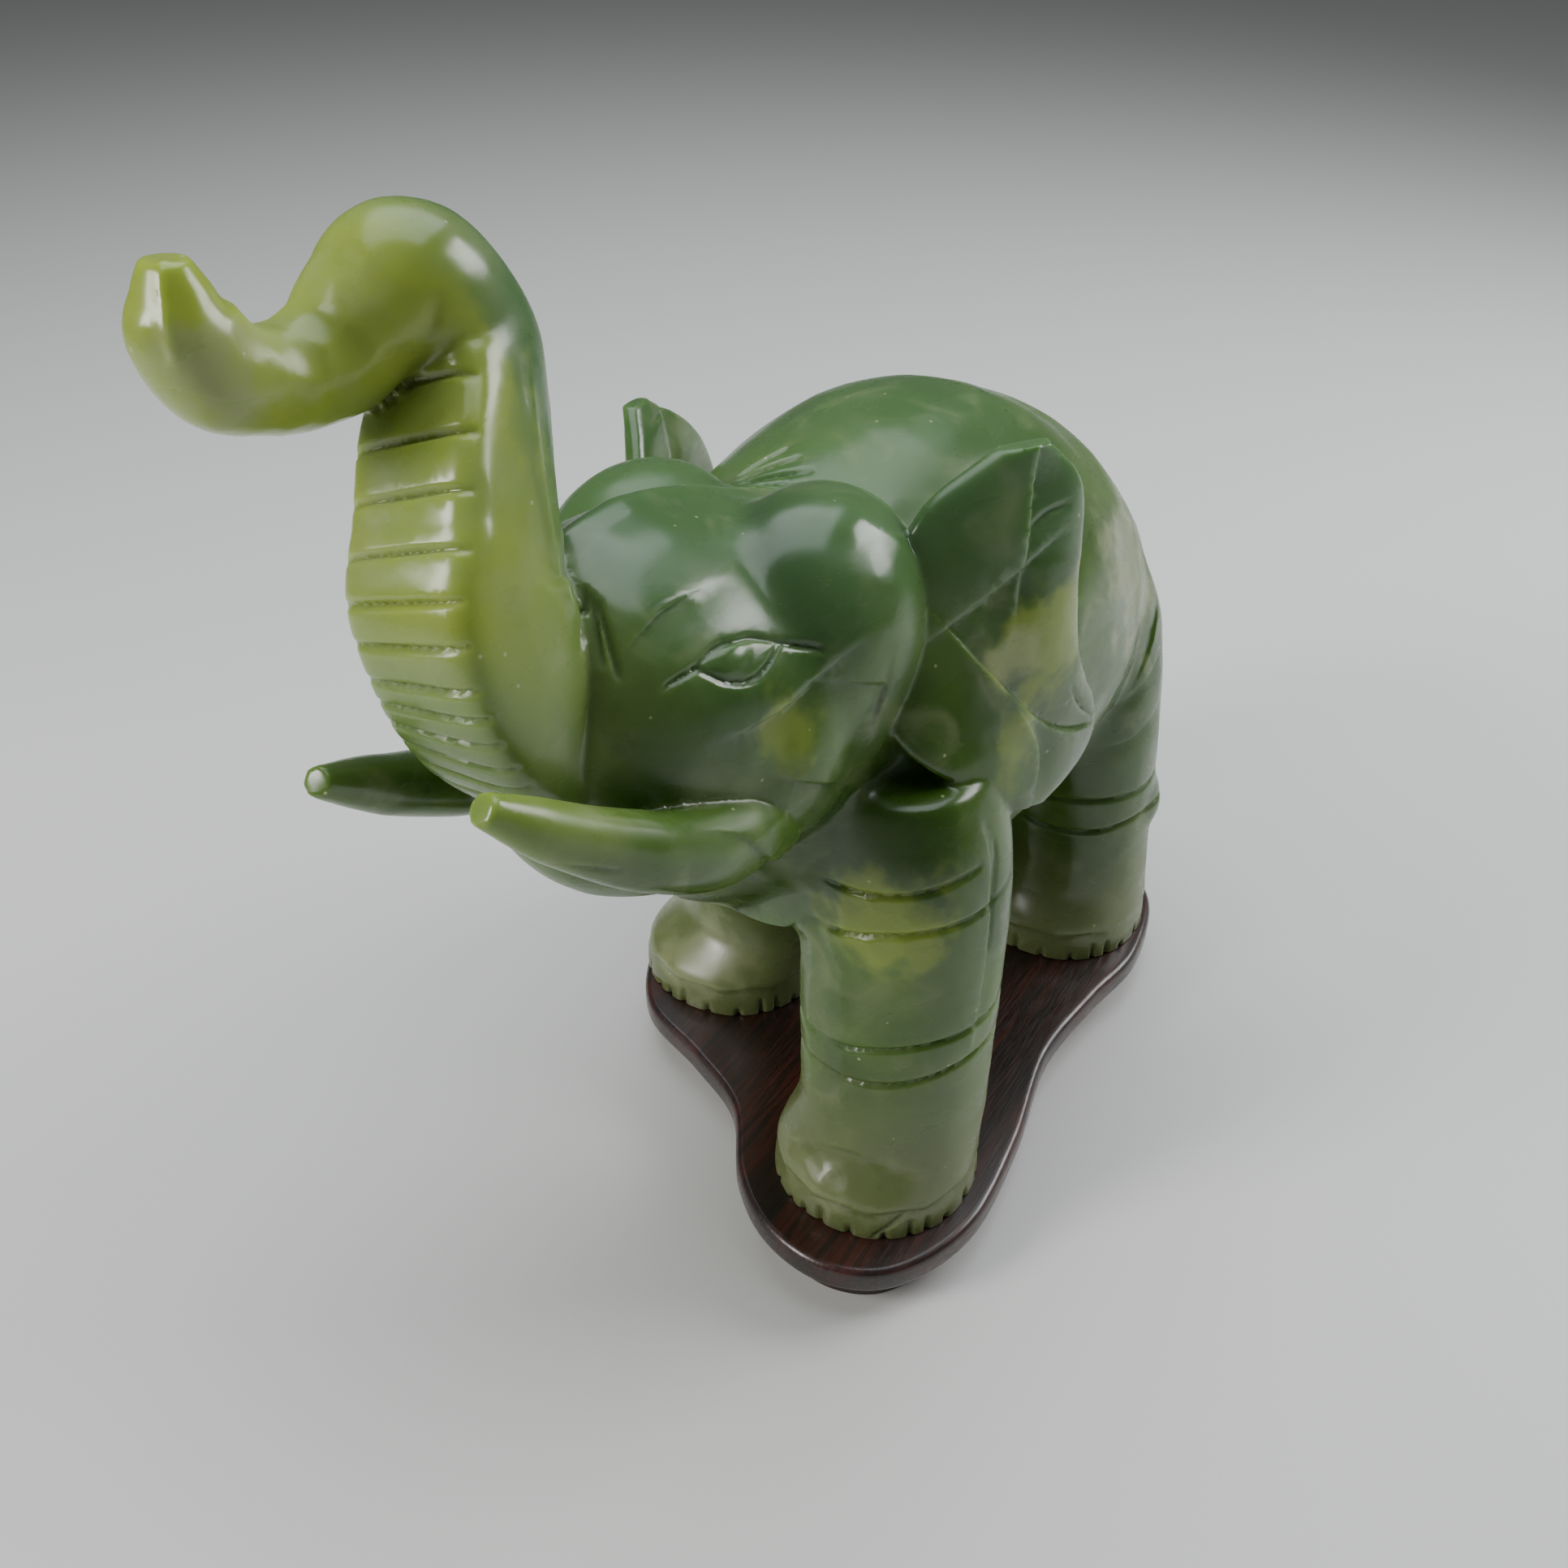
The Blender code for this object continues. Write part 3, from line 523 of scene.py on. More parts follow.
def laid_on(skin, line):
    """Points of the skin nearest to a smooth curve through the line, with the direction to the line's right."""
    length = np.linalg.norm(np.diff(line, axis=0), axis=1).sum()
    hits = [skin.find_nearest(point * MM) for point in smooth_rows(line, int(length / LAID_STEP) + 4)]
    laid = np.array([hit[0] for hit in hits]) / MM
    along = laid[2:] - laid[:-2]
    along = np.vstack([along[:1], along, along[-1:]])
    right = np.cross(along, np.array([hit[1] for hit in hits]))
    return laid, right / np.maximum(np.linalg.norm(right, axis=1), 1e-9)[:, None]


def line_field(points, strokes):
    """Depth and grime at every point. Depth = sum of depth x fade x exp(-(distance / width)^2) over all lines.

    A line with a spread sinks exp(-(distance / spread)^2) on its right instead, or on its left below zero.
    """
    sink, grime = np.zeros(len(points)), np.zeros(len(points))
    for (laid, right), width, depth, dirt, spread in strokes:
        fade = np.sqrt(np.sin(np.linspace(0.05, 0.95, len(laid)) * math.pi))
        margin = 2.5 * max(width, abs(spread))
        near = np.flatnonzero(((points > laid.min(0) - margin) & (points < laid.max(0) + margin)).all(axis=1))
        offset = points[near, None] - laid[None]
        apart = np.linalg.norm(offset, axis=2)
        closest = apart.argmin(axis=1)
        nearest = np.take_along_axis(apart, closest[:, None], axis=1)[:, 0]
        bell = fade[closest] * np.exp(-((nearest / width) ** 2))
        if spread:
            beside = (offset[np.arange(len(near)), closest] * right[closest]).sum(axis=1) * np.sign(spread)
            slope = np.clip(beside / width + 0.5, 0, 1) * np.exp(-((nearest / spread) ** 2))
            sink[near] += depth * fade[closest] * slope
        else:
            sink[near] += depth * bell
        grime[near] = np.maximum(grime[near], dirt * bell)
    return sink, grime


# %% [markdown]
# The trunk is ringed like a real one. The grooves run straight across its flat front, close together at the root
# and wider apart towards the arch, and the two highest are dark with old dust.

# %% Trunk rings
TOP_GROOVE = 182.0
WIDE_PITCH = 5.6
CLOSE_PITCH = 4.0
# How much grime each groove holds, from the top one down: the upper ones are well apart, the lower ones close
WIDE_GRIME = [0.6, 1.0, 0.2, 0.6, 0.3, 0.2, 0.3]
CLOSE_GRIME = [0.1] * 6


def groove_heights():
    """Heights at which the grooves cross the front of the trunk, from the top one down."""
    wide = TOP_GROOVE - WIDE_PITCH * np.arange(len(WIDE_GRIME))
    return np.concatenate([wide, wide[-1] - CLOSE_PITCH * np.arange(1, len(CLOSE_GRIME) + 1)])


def face_line(height, reach):
    """A straight line across the front of the trunk at a height: face + u reach across."""
    table = smooth_rows(TRUNK, TRUNK_STATIONS)
    across, dorsal = path_frames(table[:, :3], BACKWARDS)
    face = table[:, :3] - dorsal * table[:, 5:6]
    rising = np.arange(np.argmax(face[:, 2]))
    station = np.interp(height, face[rising, 2], rising)
    columns = np.hstack([face, across * table[:, 3:4]])
    row = np.array([np.interp(station, np.arange(TRUNK_STATIONS), column) for column in columns.T])
    return roll_head(row[:3] + np.linspace(-reach, reach, 9)[:, None] * row[3:])


lines = [(face_line(height, 1.02), 0.5, 1.0, dirt, 0)
         for height, dirt in zip(groove_heights(), WIDE_GRIME + CLOSE_GRIME)]
print("trunk rings:", len(lines))

# %% [markdown]
# The eye is drawn with two lids that meet in a long corner. Below it runs a raised fold, then the crease of the
# cheek. Three short wrinkles sit where the trunk leaves the face. All are given on the left and mirrored.

# %% Lines of the head
# start, end, bow, width, depth, grime, spread; a depth below zero is a raised line
FOREHEAD_RIDGE = ((0, -92, 159), (0, -40, 145), (0, 0, 2), 2.2, -1.3, 0, 0)
EYE_LINES = [
    ((18, -91, 139), (20, -86, 140), (0, 0, 0), 0.5, 0.8, 0.7, 0),
    ((20, -86, 140), (25, -71, 138), (0, 0, 3), 0.5, 0.8, 0.7, 0),
    ((25, -71, 138), (28, -66, 135), (0, 0, 0), 0.5, 0.8, 0.6, 0),
    ((20, -86, 140), (25, -72, 138), (0, 0, -4), 0.5, 0.8, 0.6, 0),
]
CHEEK_LINES = [
    ((25, -82, 129), (29, -66, 132), (0, 0, -1), 0.5, 1.1, 0, 5),
    ((29, -66, 130), (32, -55, 125), (0, 0, 0), 0.4, 0.5, 0, 4),
    ((32, -55, 125), (31, -56, 119), (0, 0, 0), 0.4, 0.7, 0, 4),
    ((16, -80, 148), (14, -92, 145), (0, 0, 1), 0.4, 0.7, 0, -5),
    ((26, -91, 117), (22, -64, 98), (0, 0, -3), 0.6, 0.9, 0, 5),
    ((27, -76, 118), (28, -64, 111), (0, 0, 0), 0.5, 0.9, 0, 4),
    ((22, -119, 128), (24, -112, 124), (0, 0, 0), 0.4, 0.4, 0.3, 0),
]
ROOT_WRINKLES = [
    ((7 + k, -91, 152 - k), (10 + 2 * k, -97 + k, 146 - 2 * k), (0, 0, 0), 0.5, 0.8, 1, 0) for k in range(3)
]
TRUNK_CREASES = [
    ((1, -88, 181), (8, -95, 149), (2, -3, 0), 1.2, -0.45, 0, 0),
    ((-15, -125, 203), (-13, -129, 193), (0, 0, 0), 0.6, -0.35, 0, 0),
]
EAR_LINES = [
    ((43, -22, 153), (42, -27, 134), (0, 0, 0), 0.5, 1.4, 0, -8),
    ((42, -27, 134), (38, -37, 130), (0, 0, 0), 0.5, 1.4, 0, -8),
    ((46, -17, 141), (42, -25, 139), (0, 0, 1), 0.6, 0.5, 0.1, 0),
    ((37, -39, 125), (45, -5, 94), (0, 0, -6), 0.5, 1.5, 0.3, -7),
    ((43, -28, 106), (44, -28, 91), (0, 3, 0), 0.5, 1.0, 0.1, -5),
    ((46, -14, 106), (45, -3, 95), (0, 0, -1), 0.5, 0.5, 0.2, 0),
]
RIGHT_EAR_SETBACK = 10.0


def mirrored(line):
    """The same line on the right side."""
    return line * (-1, 1, 1)


def on_both_sides(strokes, setback=0):
    """Each stroke of the left side of the head and its twin on the right, turned with the head."""
    for start, end, bow, width, depth, dirt, spread in strokes:
        line = bowed(start, end, bow)
        lines.append((roll_head(line), width, depth, dirt, spread))
        lines.append((roll_head(mirrored(line) + (0, setback, 0)), width, depth, dirt, -spread))


on_both_sides(EYE_LINES + CHEEK_LINES + ROOT_WRINKLES)
on_both_sides(EAR_LINES, RIGHT_EAR_SETBACK)
for start, end, bow, *rest in [FOREHEAD_RIDGE] + TRUNK_CREASES:
    lines.append((roll_head(bowed(start, end, bow)), *rest))
print("with the head:", len(lines), "lines")

# %% Folds of the rump and the nape
RUMP_FOLDS = [
    ((43, 47, 87), (40, 30, 80), (0, 0, -1), 0.6, 1.0, 0.3, -4),
    ((45, 43, 73), (38, 30, 70), (0, 0, -1), 0.6, 0.9, 0.2, -4),
    ((44, 47, 96), (42, 38, 86), (0, 0, 0), 0.6, 0.6, 0.1, 3),
]
LEFT_LEG_LINES = [
    ((46, -45, 98), (49, -48, 57), (0, 1, 0), 0.5, 0.6, 0.1, -3),
    ((47, -43, 96), (49, -45, 75), (0, 0, 0), 0.5, 0.5, 0.1, 0),
    ((18, -61, 24), (45, -57, 27), (0, -3, 4), 0.7, 0.4, 0.1, 5),
    ((44, -62, 19), (40, -66, 14), (0, 0, 0), 0.4, 0.7, 1, 0),
]
NAPE_WRINKLES = 5

for start, end, bow, width, depth, dirt, spread in RUMP_FOLDS:
    line = bowed(start, end, bow)
    lines.append((line, width, depth, dirt, spread))
    lines.append((mirrored(line), width, depth, dirt, -spread))
for start, end, bow, *rest in LEFT_LEG_LINES:
    lines.append((bowed(start, end, bow), *rest))
for k in range(NAPE_WRINKLES):
    lines.append((bowed((-13, -27 - 2 * k, 141), (-8 + 4 * k, -19 - 3 * k, 144.5)), 0.5, 0.8, 0.4, 0))
print("with the body:", len(lines), "lines")

# %% [markdown]
# Rings are cut round the front of each leg. On the forward one they sink to the inside. A scalloped edge runs
# round the foot where its slope meets the upright rim, and small chips in the sole stand for the toes.

# %% Rings and toes
# Height over the sole and reach to each side of the front, in degrees
LEG_RINGS = [(34, 150), (42, 150), (68, 100), (77, 60)]
FORWARD_LEG_TILT = 0.22
SCALLOPS = 11
RIM_HEIGHT = 6.2
CHIPS = 24


def leg_lines(foot, ankle, hip, front, thickness, flare, rings):
    """Points at centre + radius (cos t, sin t): rings at a height, a scalloped rim, and short upright chips."""
    made = []
    tilt = FORWARD_LEG_TILT if foot == FRONT_LEFT else 0.0
    for height, spread in LEG_RINGS[:rings]:
        rise = (height - ANKLE_HEIGHT) / (HIP_HEIGHT - ANKLE_HEIGHT)
        centre = np.array(ankle) + (np.array(hip) - ankle) * rise
        turn = np.radians(front + np.linspace(-spread, spread, 30))
        round_leg = LEG_RADIUS * thickness * np.column_stack([np.cos(turn), np.sin(turn)])
        level = SOLE + height + tilt * round_leg[:, 0] + 0.5 * np.sin(3 * turn + height)
        made.append((np.column_stack([centre + round_leg, level]), 0.6, 0.8, 0.4, 0))
    radius = LEG_RADIUS * (thickness + flare) * LEG[1][1]
    turn = np.linspace(0, 2 * math.pi, 6 * SCALLOPS)
    level = SOLE + RIM_HEIGHT + 0.9 * np.abs(np.sin(turn * SCALLOPS / 2))
    rim = np.array(foot) + radius * np.column_stack([np.cos(turn), np.sin(turn)])
    made.append((np.column_stack([rim, level]), 0.5, 0.5, 0.1, 3.5))
    for turn in np.linspace(0, 2 * math.pi, CHIPS, endpoint=False):
        turn += 0.07 * math.sin(5 * turn)
        x, y = foot[0] + radius * math.cos(turn), foot[1] + radius * math.sin(turn)
        top = 2.2 + 1.3 * math.sin(7 * turn)
        made.append((np.array([[x, y, SOLE + z] for z in np.linspace(-2, top, 4)]), 0.6, 0.9, 0.9, 0))
    return made


for leg in LEGS:
    lines += leg_lines(*leg)
print("with legs and toes:", len(lines), "lines")

# %% [markdown]
# ## Ground by hand
# A polishing wheel leaves shallow dishes that meet in soft ridges, and they break a highlight into patches. The
# dishes are the squared distance to the nearest of many scattered points. They are plain on the arch of the
# trunk, the knee and the cheek, and faint elsewhere.

# %% Dishes of the wheel
NEIGHBOURS = np.stack(np.meshgrid([-1, 0, 1], [-1, 0, 1], [-1, 0, 1]), axis=-1).reshape(-1, 3)


def dishes(points, cell, seed):
    """Smallest squared distance, in cells, to one shaken point in each of the 27 lattice cells around."""
    shaken = np.random.default_rng(seed).random((32, 32, 32, 3))
    place = points / cell
    home = np.floor(place).astype(int)
    nearest = np.full(len(points), 9.0)
    for step in NEIGHBOURS:
        corner = home + step
        centre = corner + shaken[tuple((corner % 32).T)]
        nearest = np.minimum(nearest, ((place - centre) ** 2).sum(axis=1))
    return nearest


def near_to(points, centre, radius):
    """1 at a centre, falling smoothly to 0 at a radius: (1 - d2 / r2) squared."""
    apart = (((points - centre) / radius) ** 2).sum(axis=1)
    return np.clip(1 - apart, 0, 1) ** 2


# centre, radius and depth of each patch that was worked with a small wheel
SMALL_WHEEL = [
    ((-17, -112, 187), 24, 0.6),
    ((31, -60, 80), 20, 0.8),
    ((28, -75, 110), 18, 0.6),
    ((24, -48, 145), 16, 0.35),
    ((30, -60, 22), 22, 0.6),
    ((40, -25, 120), 30, 0.25),
    ((42, 40, 95), 35, 0.3),
]

# point, outward direction, centre and radius of each flat that was ground on the stone
FLATS = [
    ((25, -59.5, 64), (-1, -3, 0), (25, -58, 62), 34),
    ((-13, -128, 196), (1, -5, 0), (-14, -128, 196), 12),
    ((-13, -128, 196), (2, -1, 0), (-12, -126, 198), 12),
]


def ground_flat(points):
    """Points beyond a flat move back on to it: p - n (p - a) . n, faded out towards the rim of the flat."""
    for place, direction, centre, radius in FLATS:
        out = np.array(direction) / np.linalg.norm(direction)
        beyond = np.clip((points - place) @ out, 0, None)
        points = points - out * (beyond * np.clip(3 * near_to(points, np.array(centre), radius), 0, 1))[:, None]
    return points


def wheel_marks(points):
    """Height of the surface over its smooth form, in mm: broad dishes everywhere, small ones in patches."""
    height = 0.4 * (dishes(points, 13.0, 3) - 0.3)
    small = dishes(points, 4.5, 5) - 0.3
    for centre, radius, depth in SMALL_WHEEL:
        height += depth * near_to(points, np.array(centre), radius) * small
    return height


# %% [markdown]
# ## Finish the elephant's mesh
# The lines and the wheel marks move the points of the welded stone along their normals. Then the mesh is thinned
# where it is flat, the soles are cut level, and the grime of each line is stored for the material to read.

# %% Press in the lines and the wheel marks
STONE_TRIANGLES = 194000

skin = BVHTree.FromPolygons([v.co for v in stone.vertices], [p.vertices for p in stone.polygons])
strokes = [(laid_on(skin, line), *rest) for line, *rest in lines]
points = ground_flat(read_array(stone, "co") / MM)
normals = read_array(stone, "normal")
sink, grime = line_field(points, strokes)
points += normals * (wheel_marks(points) * np.exp(-3 * grime) - sink)[:, None]
stone.vertices.foreach_set("co", (points * MM).ravel())
stone.update()
print("lines pressed in:", len(strokes))


# %% Thin the mesh and cut the soles
def cut_level(mesh, height):
    """Cut the mesh at a height, drop what is below and close the cut."""
    bm = bmesh.new()
    bm.from_mesh(mesh)
    everything = bm.verts[:] + bm.edges[:] + bm.faces[:]
    cut = bmesh.ops.bisect_plane(bm, geom=everything, plane_co=(0, 0, height * MM), plane_no=(0, 0, -1),
                                 clear_outer=True)
    rim = [part for part in cut["geom_cut"] if isinstance(part, bmesh.types.BMEdge)]
    bmesh.ops.holes_fill(bm, edges=rim, sides=0)
    bm.to_mesh(mesh)
    bm.free()


skin_mesh = evaluated("stone", stone, [("DECIMATE", {"ratio": STONE_TRIANGLES / (2 * len(stone.polygons))})])
cut_level(skin_mesh, SOLE)
low, high = (np.array(corner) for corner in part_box("elephant"))
points = np.clip(read_array(skin_mesh, "co"), low, high)
skin_mesh.vertices.foreach_set("co", points.ravel())
skin_mesh.update()
triangles = sum(len(face.vertices) - 2 for face in skin_mesh.polygons)
print("elephant:", len(skin_mesh.vertices), "points", triangles, "triangles")


# %% [markdown]
# Two numbers are kept at every point of the stone. Grime is how near a cut line is. Hollow is how far a point
# lies below the mean of its neighbours, measured along its normal; the finish darkens the hollows as painted
# shade.

# %% Grime and hollows
def store(mesh, name, values):
    """Keep one number for every point of a mesh, for the material to read."""
    mesh.attributes.new(name, "FLOAT", "POINT").data.foreach_set("value", np.asarray(values, dtype=np.float32))


def hollowness(mesh, rounds):
    """Mean over a point's edges of (far - near) . normal / length, then averaged along edges for some rounds."""
    points, normals = read_array(mesh, "co"), read_array(mesh, "normal")
    ends = np.empty(len(mesh.edges) * 2, dtype=int)
    mesh.edges.foreach_get("vertices", ends)
    a, b = ends.reshape(-1, 2).T
    span = points[b] - points[a]
    length = np.linalg.norm(span, axis=1)
    count = np.bincount(ends, minlength=len(points))
    rise = (np.bincount(a, (span * normals[a]).sum(axis=1) / length, len(points))
            - np.bincount(b, (span * normals[b]).sum(axis=1) / length, len(points))) / count
    for _ in range(rounds):
        rise = (np.bincount(a, rise[b], len(points)) + np.bincount(b, rise[a], len(points))) / count
    return rise


store(skin_mesh, "grime", line_field(points / MM, strokes)[1])
store(skin_mesh, "hollow", hollowness(skin_mesh, 3))
skin_mesh.shade_smooth()
skin_mesh.set_sharp_from_angle(angle=math.radians(58))
elephant = bpy.data.objects.new("jade_elephant", skin_mesh)
bpy.context.scene.collection.objects.link(elephant)
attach(elephant, "root")
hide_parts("elephant")
print("elephant placed")

# %% [markdown]
# ## The rosewood stand
# The stand is sawn to a lobed outline that follows the four feet, with a rounded edge over a plinth set back
# below it. A closed spline runs through the corners of the plan, and it is moved in or out at each height.

# %% Stand
PLATE_THICKNESS = 6.0
STAND_HEIGHT = 13.0
PLINTH_INSET = 5.0
CORNER_STEPS = 16

# x and y of each corner of the plan
STAND_PLAN = [
    (35, -75.5), (47, -69), (54, -52), (52.5, -28), (47.5, -2), (49, 20), (51.5, 40), (45.5, 62), (28, 73),
    (8, 71), (-10, 73), (-28, 79), (-45, 72), (-53, 54), (-51, 32), (-48, 12), (-49, -4), (-44.5, -21),
    (-34.5, -35), (-17, -42.5), (-2, -50.5), (9, -65), (21, -73.5),
]


def stand_outline(grow):
    """Closed Catmull-Rom spline through the corners, then a step outwards, square to its direction."""
    a = np.array(STAND_PLAN, dtype=float)[:, None, :]
    before, after, beyond = np.roll(a, 1, 0), np.roll(a, -1, 0), np.roll(a, -2, 0)
    t = (np.arange(CORNER_STEPS) / CORNER_STEPS)[None, :, None]
    curve = 0.5 * (2 * a + (after - before) * t + (2 * before - 5 * a + 4 * after - beyond) * t**2
                   + (3 * a - before - 3 * after + beyond) * t**3)
    curve = curve.reshape(-1, 2)
    along = np.roll(curve, -1, 0) - np.roll(curve, 1, 0)
    outward = np.column_stack([along[:, 1], -along[:, 0]])
    return curve + grow * outward / np.linalg.norm(outward, axis=1)[:, None]


def edge_profile():
    """Heights and steps outwards, from the floor up: an upright plinth, a cove, a plate with rounded edges."""
    under = STAND_HEIGHT - PLATE_THICKNESS
    turn = np.linspace(0, math.pi / 2, 7)
    lower = np.column_stack([under + 1.6 * (1 - np.cos(turn)), -1.6 * (1 - np.sin(turn))])
    upper = np.column_stack([STAND_HEIGHT - 1.6 * (1 - np.sin(turn)), -1.6 * (1 - np.cos(turn))])
    cove = under - 1.2 * (1 - np.sin(turn))
    foot = [(0.0, -PLINTH_INSET - 0.3), (0.3, -PLINTH_INSET), (under - 1.8, -PLINTH_INSET)]
    hollow = np.column_stack([cove, -PLINTH_INSET + 1.2 * (1 - np.cos(turn))])
    return np.vstack([foot, hollow, [(under, -2.4)], lower, upper])


rings = [np.column_stack([stand_outline(grow), np.full(len(STAND_PLAN) * CORNER_STEPS, z)])
         for z, grow in edge_profile()]
stand_mesh = shell_mesh("rosewood_stand", [np.stack(rings)])
low, high = (np.array(corner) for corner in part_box("stand"))
stand_mesh.vertices.foreach_set("co", np.clip(read_array(stand_mesh, "co"), low, high).ravel())
stand_mesh.shade_smooth()
stand_mesh.set_sharp_from_angle(angle=math.radians(35))
stand = bpy.data.objects.new("rosewood_stand", stand_mesh)
bpy.context.scene.collection.objects.link(stand)
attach(stand, "root")
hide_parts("stand")
print("stand:", len(stand_mesh.vertices), "points")

# %% [markdown]
# ## Finishes
# A finish is a small graph of nodes that reads the place of a point on the object. These helpers add a node in
# one call, and give the patterns that both finishes use: cloudy noise, and a smooth step between two values.

# %% Node helpers
class Finish:
    """A material and its node graph, with a short call for each pattern."""

    def __init__(self, name):
        self.material = bpy.data.materials.new(name)
        self.material.use_nodes = True
        self.tree = self.material.node_tree
        self.shader = self.tree.nodes["Principled BSDF"]
        place = self.add("TexCoord", {}, "Object")
        self.place = self.add("VectorMath", {0: place, 3: 1000.0}, 0, operation="SCALE")

    def add(self, kind, inputs, output=0, **settings):
        """Add a node, set or link its inputs, and give one of its outputs."""
        node = self.tree.nodes.new("ShaderNode" + kind)
        for key, value in settings.items():
            setattr(node, key, value)
        for key, value in inputs.items():
            if isinstance(value, bpy.types.NodeSocket):
                self.tree.links.new(value, node.inputs[key])
            else:
                node.inputs[key].default_value = value
        return node.outputs[output]

    def noise(self, size, detail=3.0, stretch=(1, 1, 1), shift=0.0, distortion=0.0):
        """Cloudy noise with features of a size in mm, stretched along the axes."""
        scale = tuple(1.0 / (size * k) for k in stretch)
        place = self.add("Mapping", {"Vector": self.place, "Scale": scale, "Location": (shift, shift, shift)})
        return self.add("TexNoise", {"Vector": place, "Scale": 1.0, "Detail": detail, "Distortion": distortion})

    def step(self, value, low, high, bottom=0.0, top=1.0):
        """A smooth step from bottom to top, as a value goes from low to high."""
        inputs = {"Value": value, "From Min": low, "From Max": high, "To Min": bottom, "To Max": top}
        return self.add("MapRange", inputs, interpolation_type="SMOOTHSTEP")

    def sum(self, a, b, operation="ADD"):
        """Two numbers added, or joined in another way."""
        return self.add("Math", {0: a, 1: b}, operation=operation)

    def mix(self, factor, a, b, blend="MIX"):
        """Two colours mixed by a factor."""
        inputs = {0: factor, 6: a, 7: b}
        return self.add("Mix", inputs, 2, data_type="RGBA", blend_type=blend)

    def spot(self, centre, radius, soft=0.6):
        """1 inside a ball of a radius in mm, fading to 0 over its outer part, with a cloudy rim."""
        apart = self.add("VectorMath", {0: self.place, 1: centre}, 1, operation="DISTANCE")
        fray = 0.45 * radius
        ragged = self.sum(apart, self.step(self.noise(8.0, shift=radius), 0.2, 0.8, -fray, fray))
        return self.step(ragged, radius, radius * (1 - soft))

    def attribute(self, name):
        """A number that is stored at every point of the mesh."""
        return self.add("Attribute", {}, "Fac", attribute_name=name)


def colour(red, green, blue):
    """A paint card colour, 0 to 255, as the shader wants it: ((c + 0.055) / 1.055) to the power 2.4."""
    return (*(((c / 255 + 0.055) / 1.055) ** 2.4 for c in (red, green, blue)), 1.0)


print("finish helpers ready")

# %% [markdown]
# ### Jade
# The stone is clouded from yellow green to deep green, and greyer towards the feet. Painted on its colour are a
# glow of light through the thin trunk, painted shade in the thick head and haunch and in the hollows, and a
# painted bluish reflection of the sky that grows with height. Light goes a few millimetres into it, so its shader
# scatters below the surface. It is polished, with dull streaks, and the cut lines hold tan dust.

# %% Jade finish
jade = Finish("jade")
warm_cloud = jade.step(jade.noise(30.0, 3.0, distortion=0.6), 0.3, 0.72)
pale_cloud = jade.step(jade.noise(15.0, 4.0, shift=4.0, distortion=1.0), 0.5, 0.8)
height = jade.add("SeparateXYZ", {0: jade.place}, "Z")
length = jade.add("SeparateXYZ", {0: jade.place}, "Y")

DEEP, MID, SKY_SHEEN_BLUE = colour(52, 84, 18), colour(84, 114, 40), colour(82, 116, 72)
YELLOW, PALE, MILK = colour(150, 166, 62), colour(136, 156, 88), colour(158, 164, 124)
GREY = colour(112, 120, 78)

stone_colour = jade.mix(warm_cloud, DEEP, MID)
# Painted reflection: the stone is painted bluer with height, as if the sky shone on its upper parts.
stone_colour = jade.mix(jade.step(height, 118.0, 158.0, 0.0, 0.8), stone_colour, SKY_SHEEN_BLUE)
# Painted glow: the trunk is painted pale yellow green, as if light shone through the thin stone.
trunk_glow_mask = jade.sum(jade.step(length, -84.0, -104.0), jade.step(height, 118.0, 165.0), "MULTIPLY")
stone_colour = jade.mix(trunk_glow_mask, stone_colour, jade.mix(warm_cloud, PALE, YELLOW))
stone_colour = jade.mix(jade.step(height, 60.0, 18.0, 0.0, 0.85), stone_colour, GREY)
stone_colour = jade.mix(jade.sum(pale_cloud, 0.35, "MULTIPLY"), stone_colour, MILK)

# centre, radius, strength and colour of each cloud. Most are clouds in the stone; the deep green ones in the
# head, under the ear and on the flank are painted shade, the blue ones on the crown and the top of the ear are
# painted reflection of the sky, and the yellow one on the arch of the trunk is part of its painted glow
CLOUDS = [
    ((45, 34, 112), 20, 0.6, MILK), ((43, -22, 124), 14, 0.6, YELLOW), ((42, -30, 108), 9, 0.4, YELLOW),
    ((28, -74, 129), 8, 0.5, YELLOW), ((42, -30, 123), 6, 0.5, MILK), ((36, -58, 86), 13, 0.6, YELLOW),
    ((-16, -126, 190), 9, 0.6, MILK), ((-8, -100, 182), 14, 0.6, YELLOW), ((24, -45, 150), 16, 0.5, SKY_SHEEN_BLUE),
    ((42, -18, 148), 13, 0.6, SKY_SHEEN_BLUE), ((2, -82, 116), 26, 0.6, DEEP), ((40, -14, 95), 22, 0.6, DEEP),
    ((-26, -28, 25), 14, 0.5, MILK), ((40, 30, 60), 24, 0.5, DEEP),
]
for centre, radius, strength, tint in CLOUDS:
    stone_colour = jade.mix(jade.sum(jade.spot(centre, radius), strength, "MULTIPLY"), stone_colour, tint)

dust = jade.sum(jade.attribute("grime"), jade.step(jade.noise(3.0, 3.0), 0.25, 0.6), "MULTIPLY")
stone_colour = jade.mix(jade.step(dust, 0.1, 0.8, 0.0, 0.85), stone_colour, colour(96, 72, 40))
# Painted shade: the stone is darkened towards olive in the hollows.
hollow = jade.step(jade.attribute("hollow"), 0.04, 0.2, 0.0, 0.4)
stone_colour = jade.mix(hollow, stone_colour, colour(88, 92, 40))
specks = jade.add("TexVoronoi", {"Vector": jade.place, "Scale": 0.16}, "Distance")
stone_colour = jade.mix(jade.step(specks, 0.06, 0.03, 0.0, 0.6), stone_colour, colour(196, 198, 160))

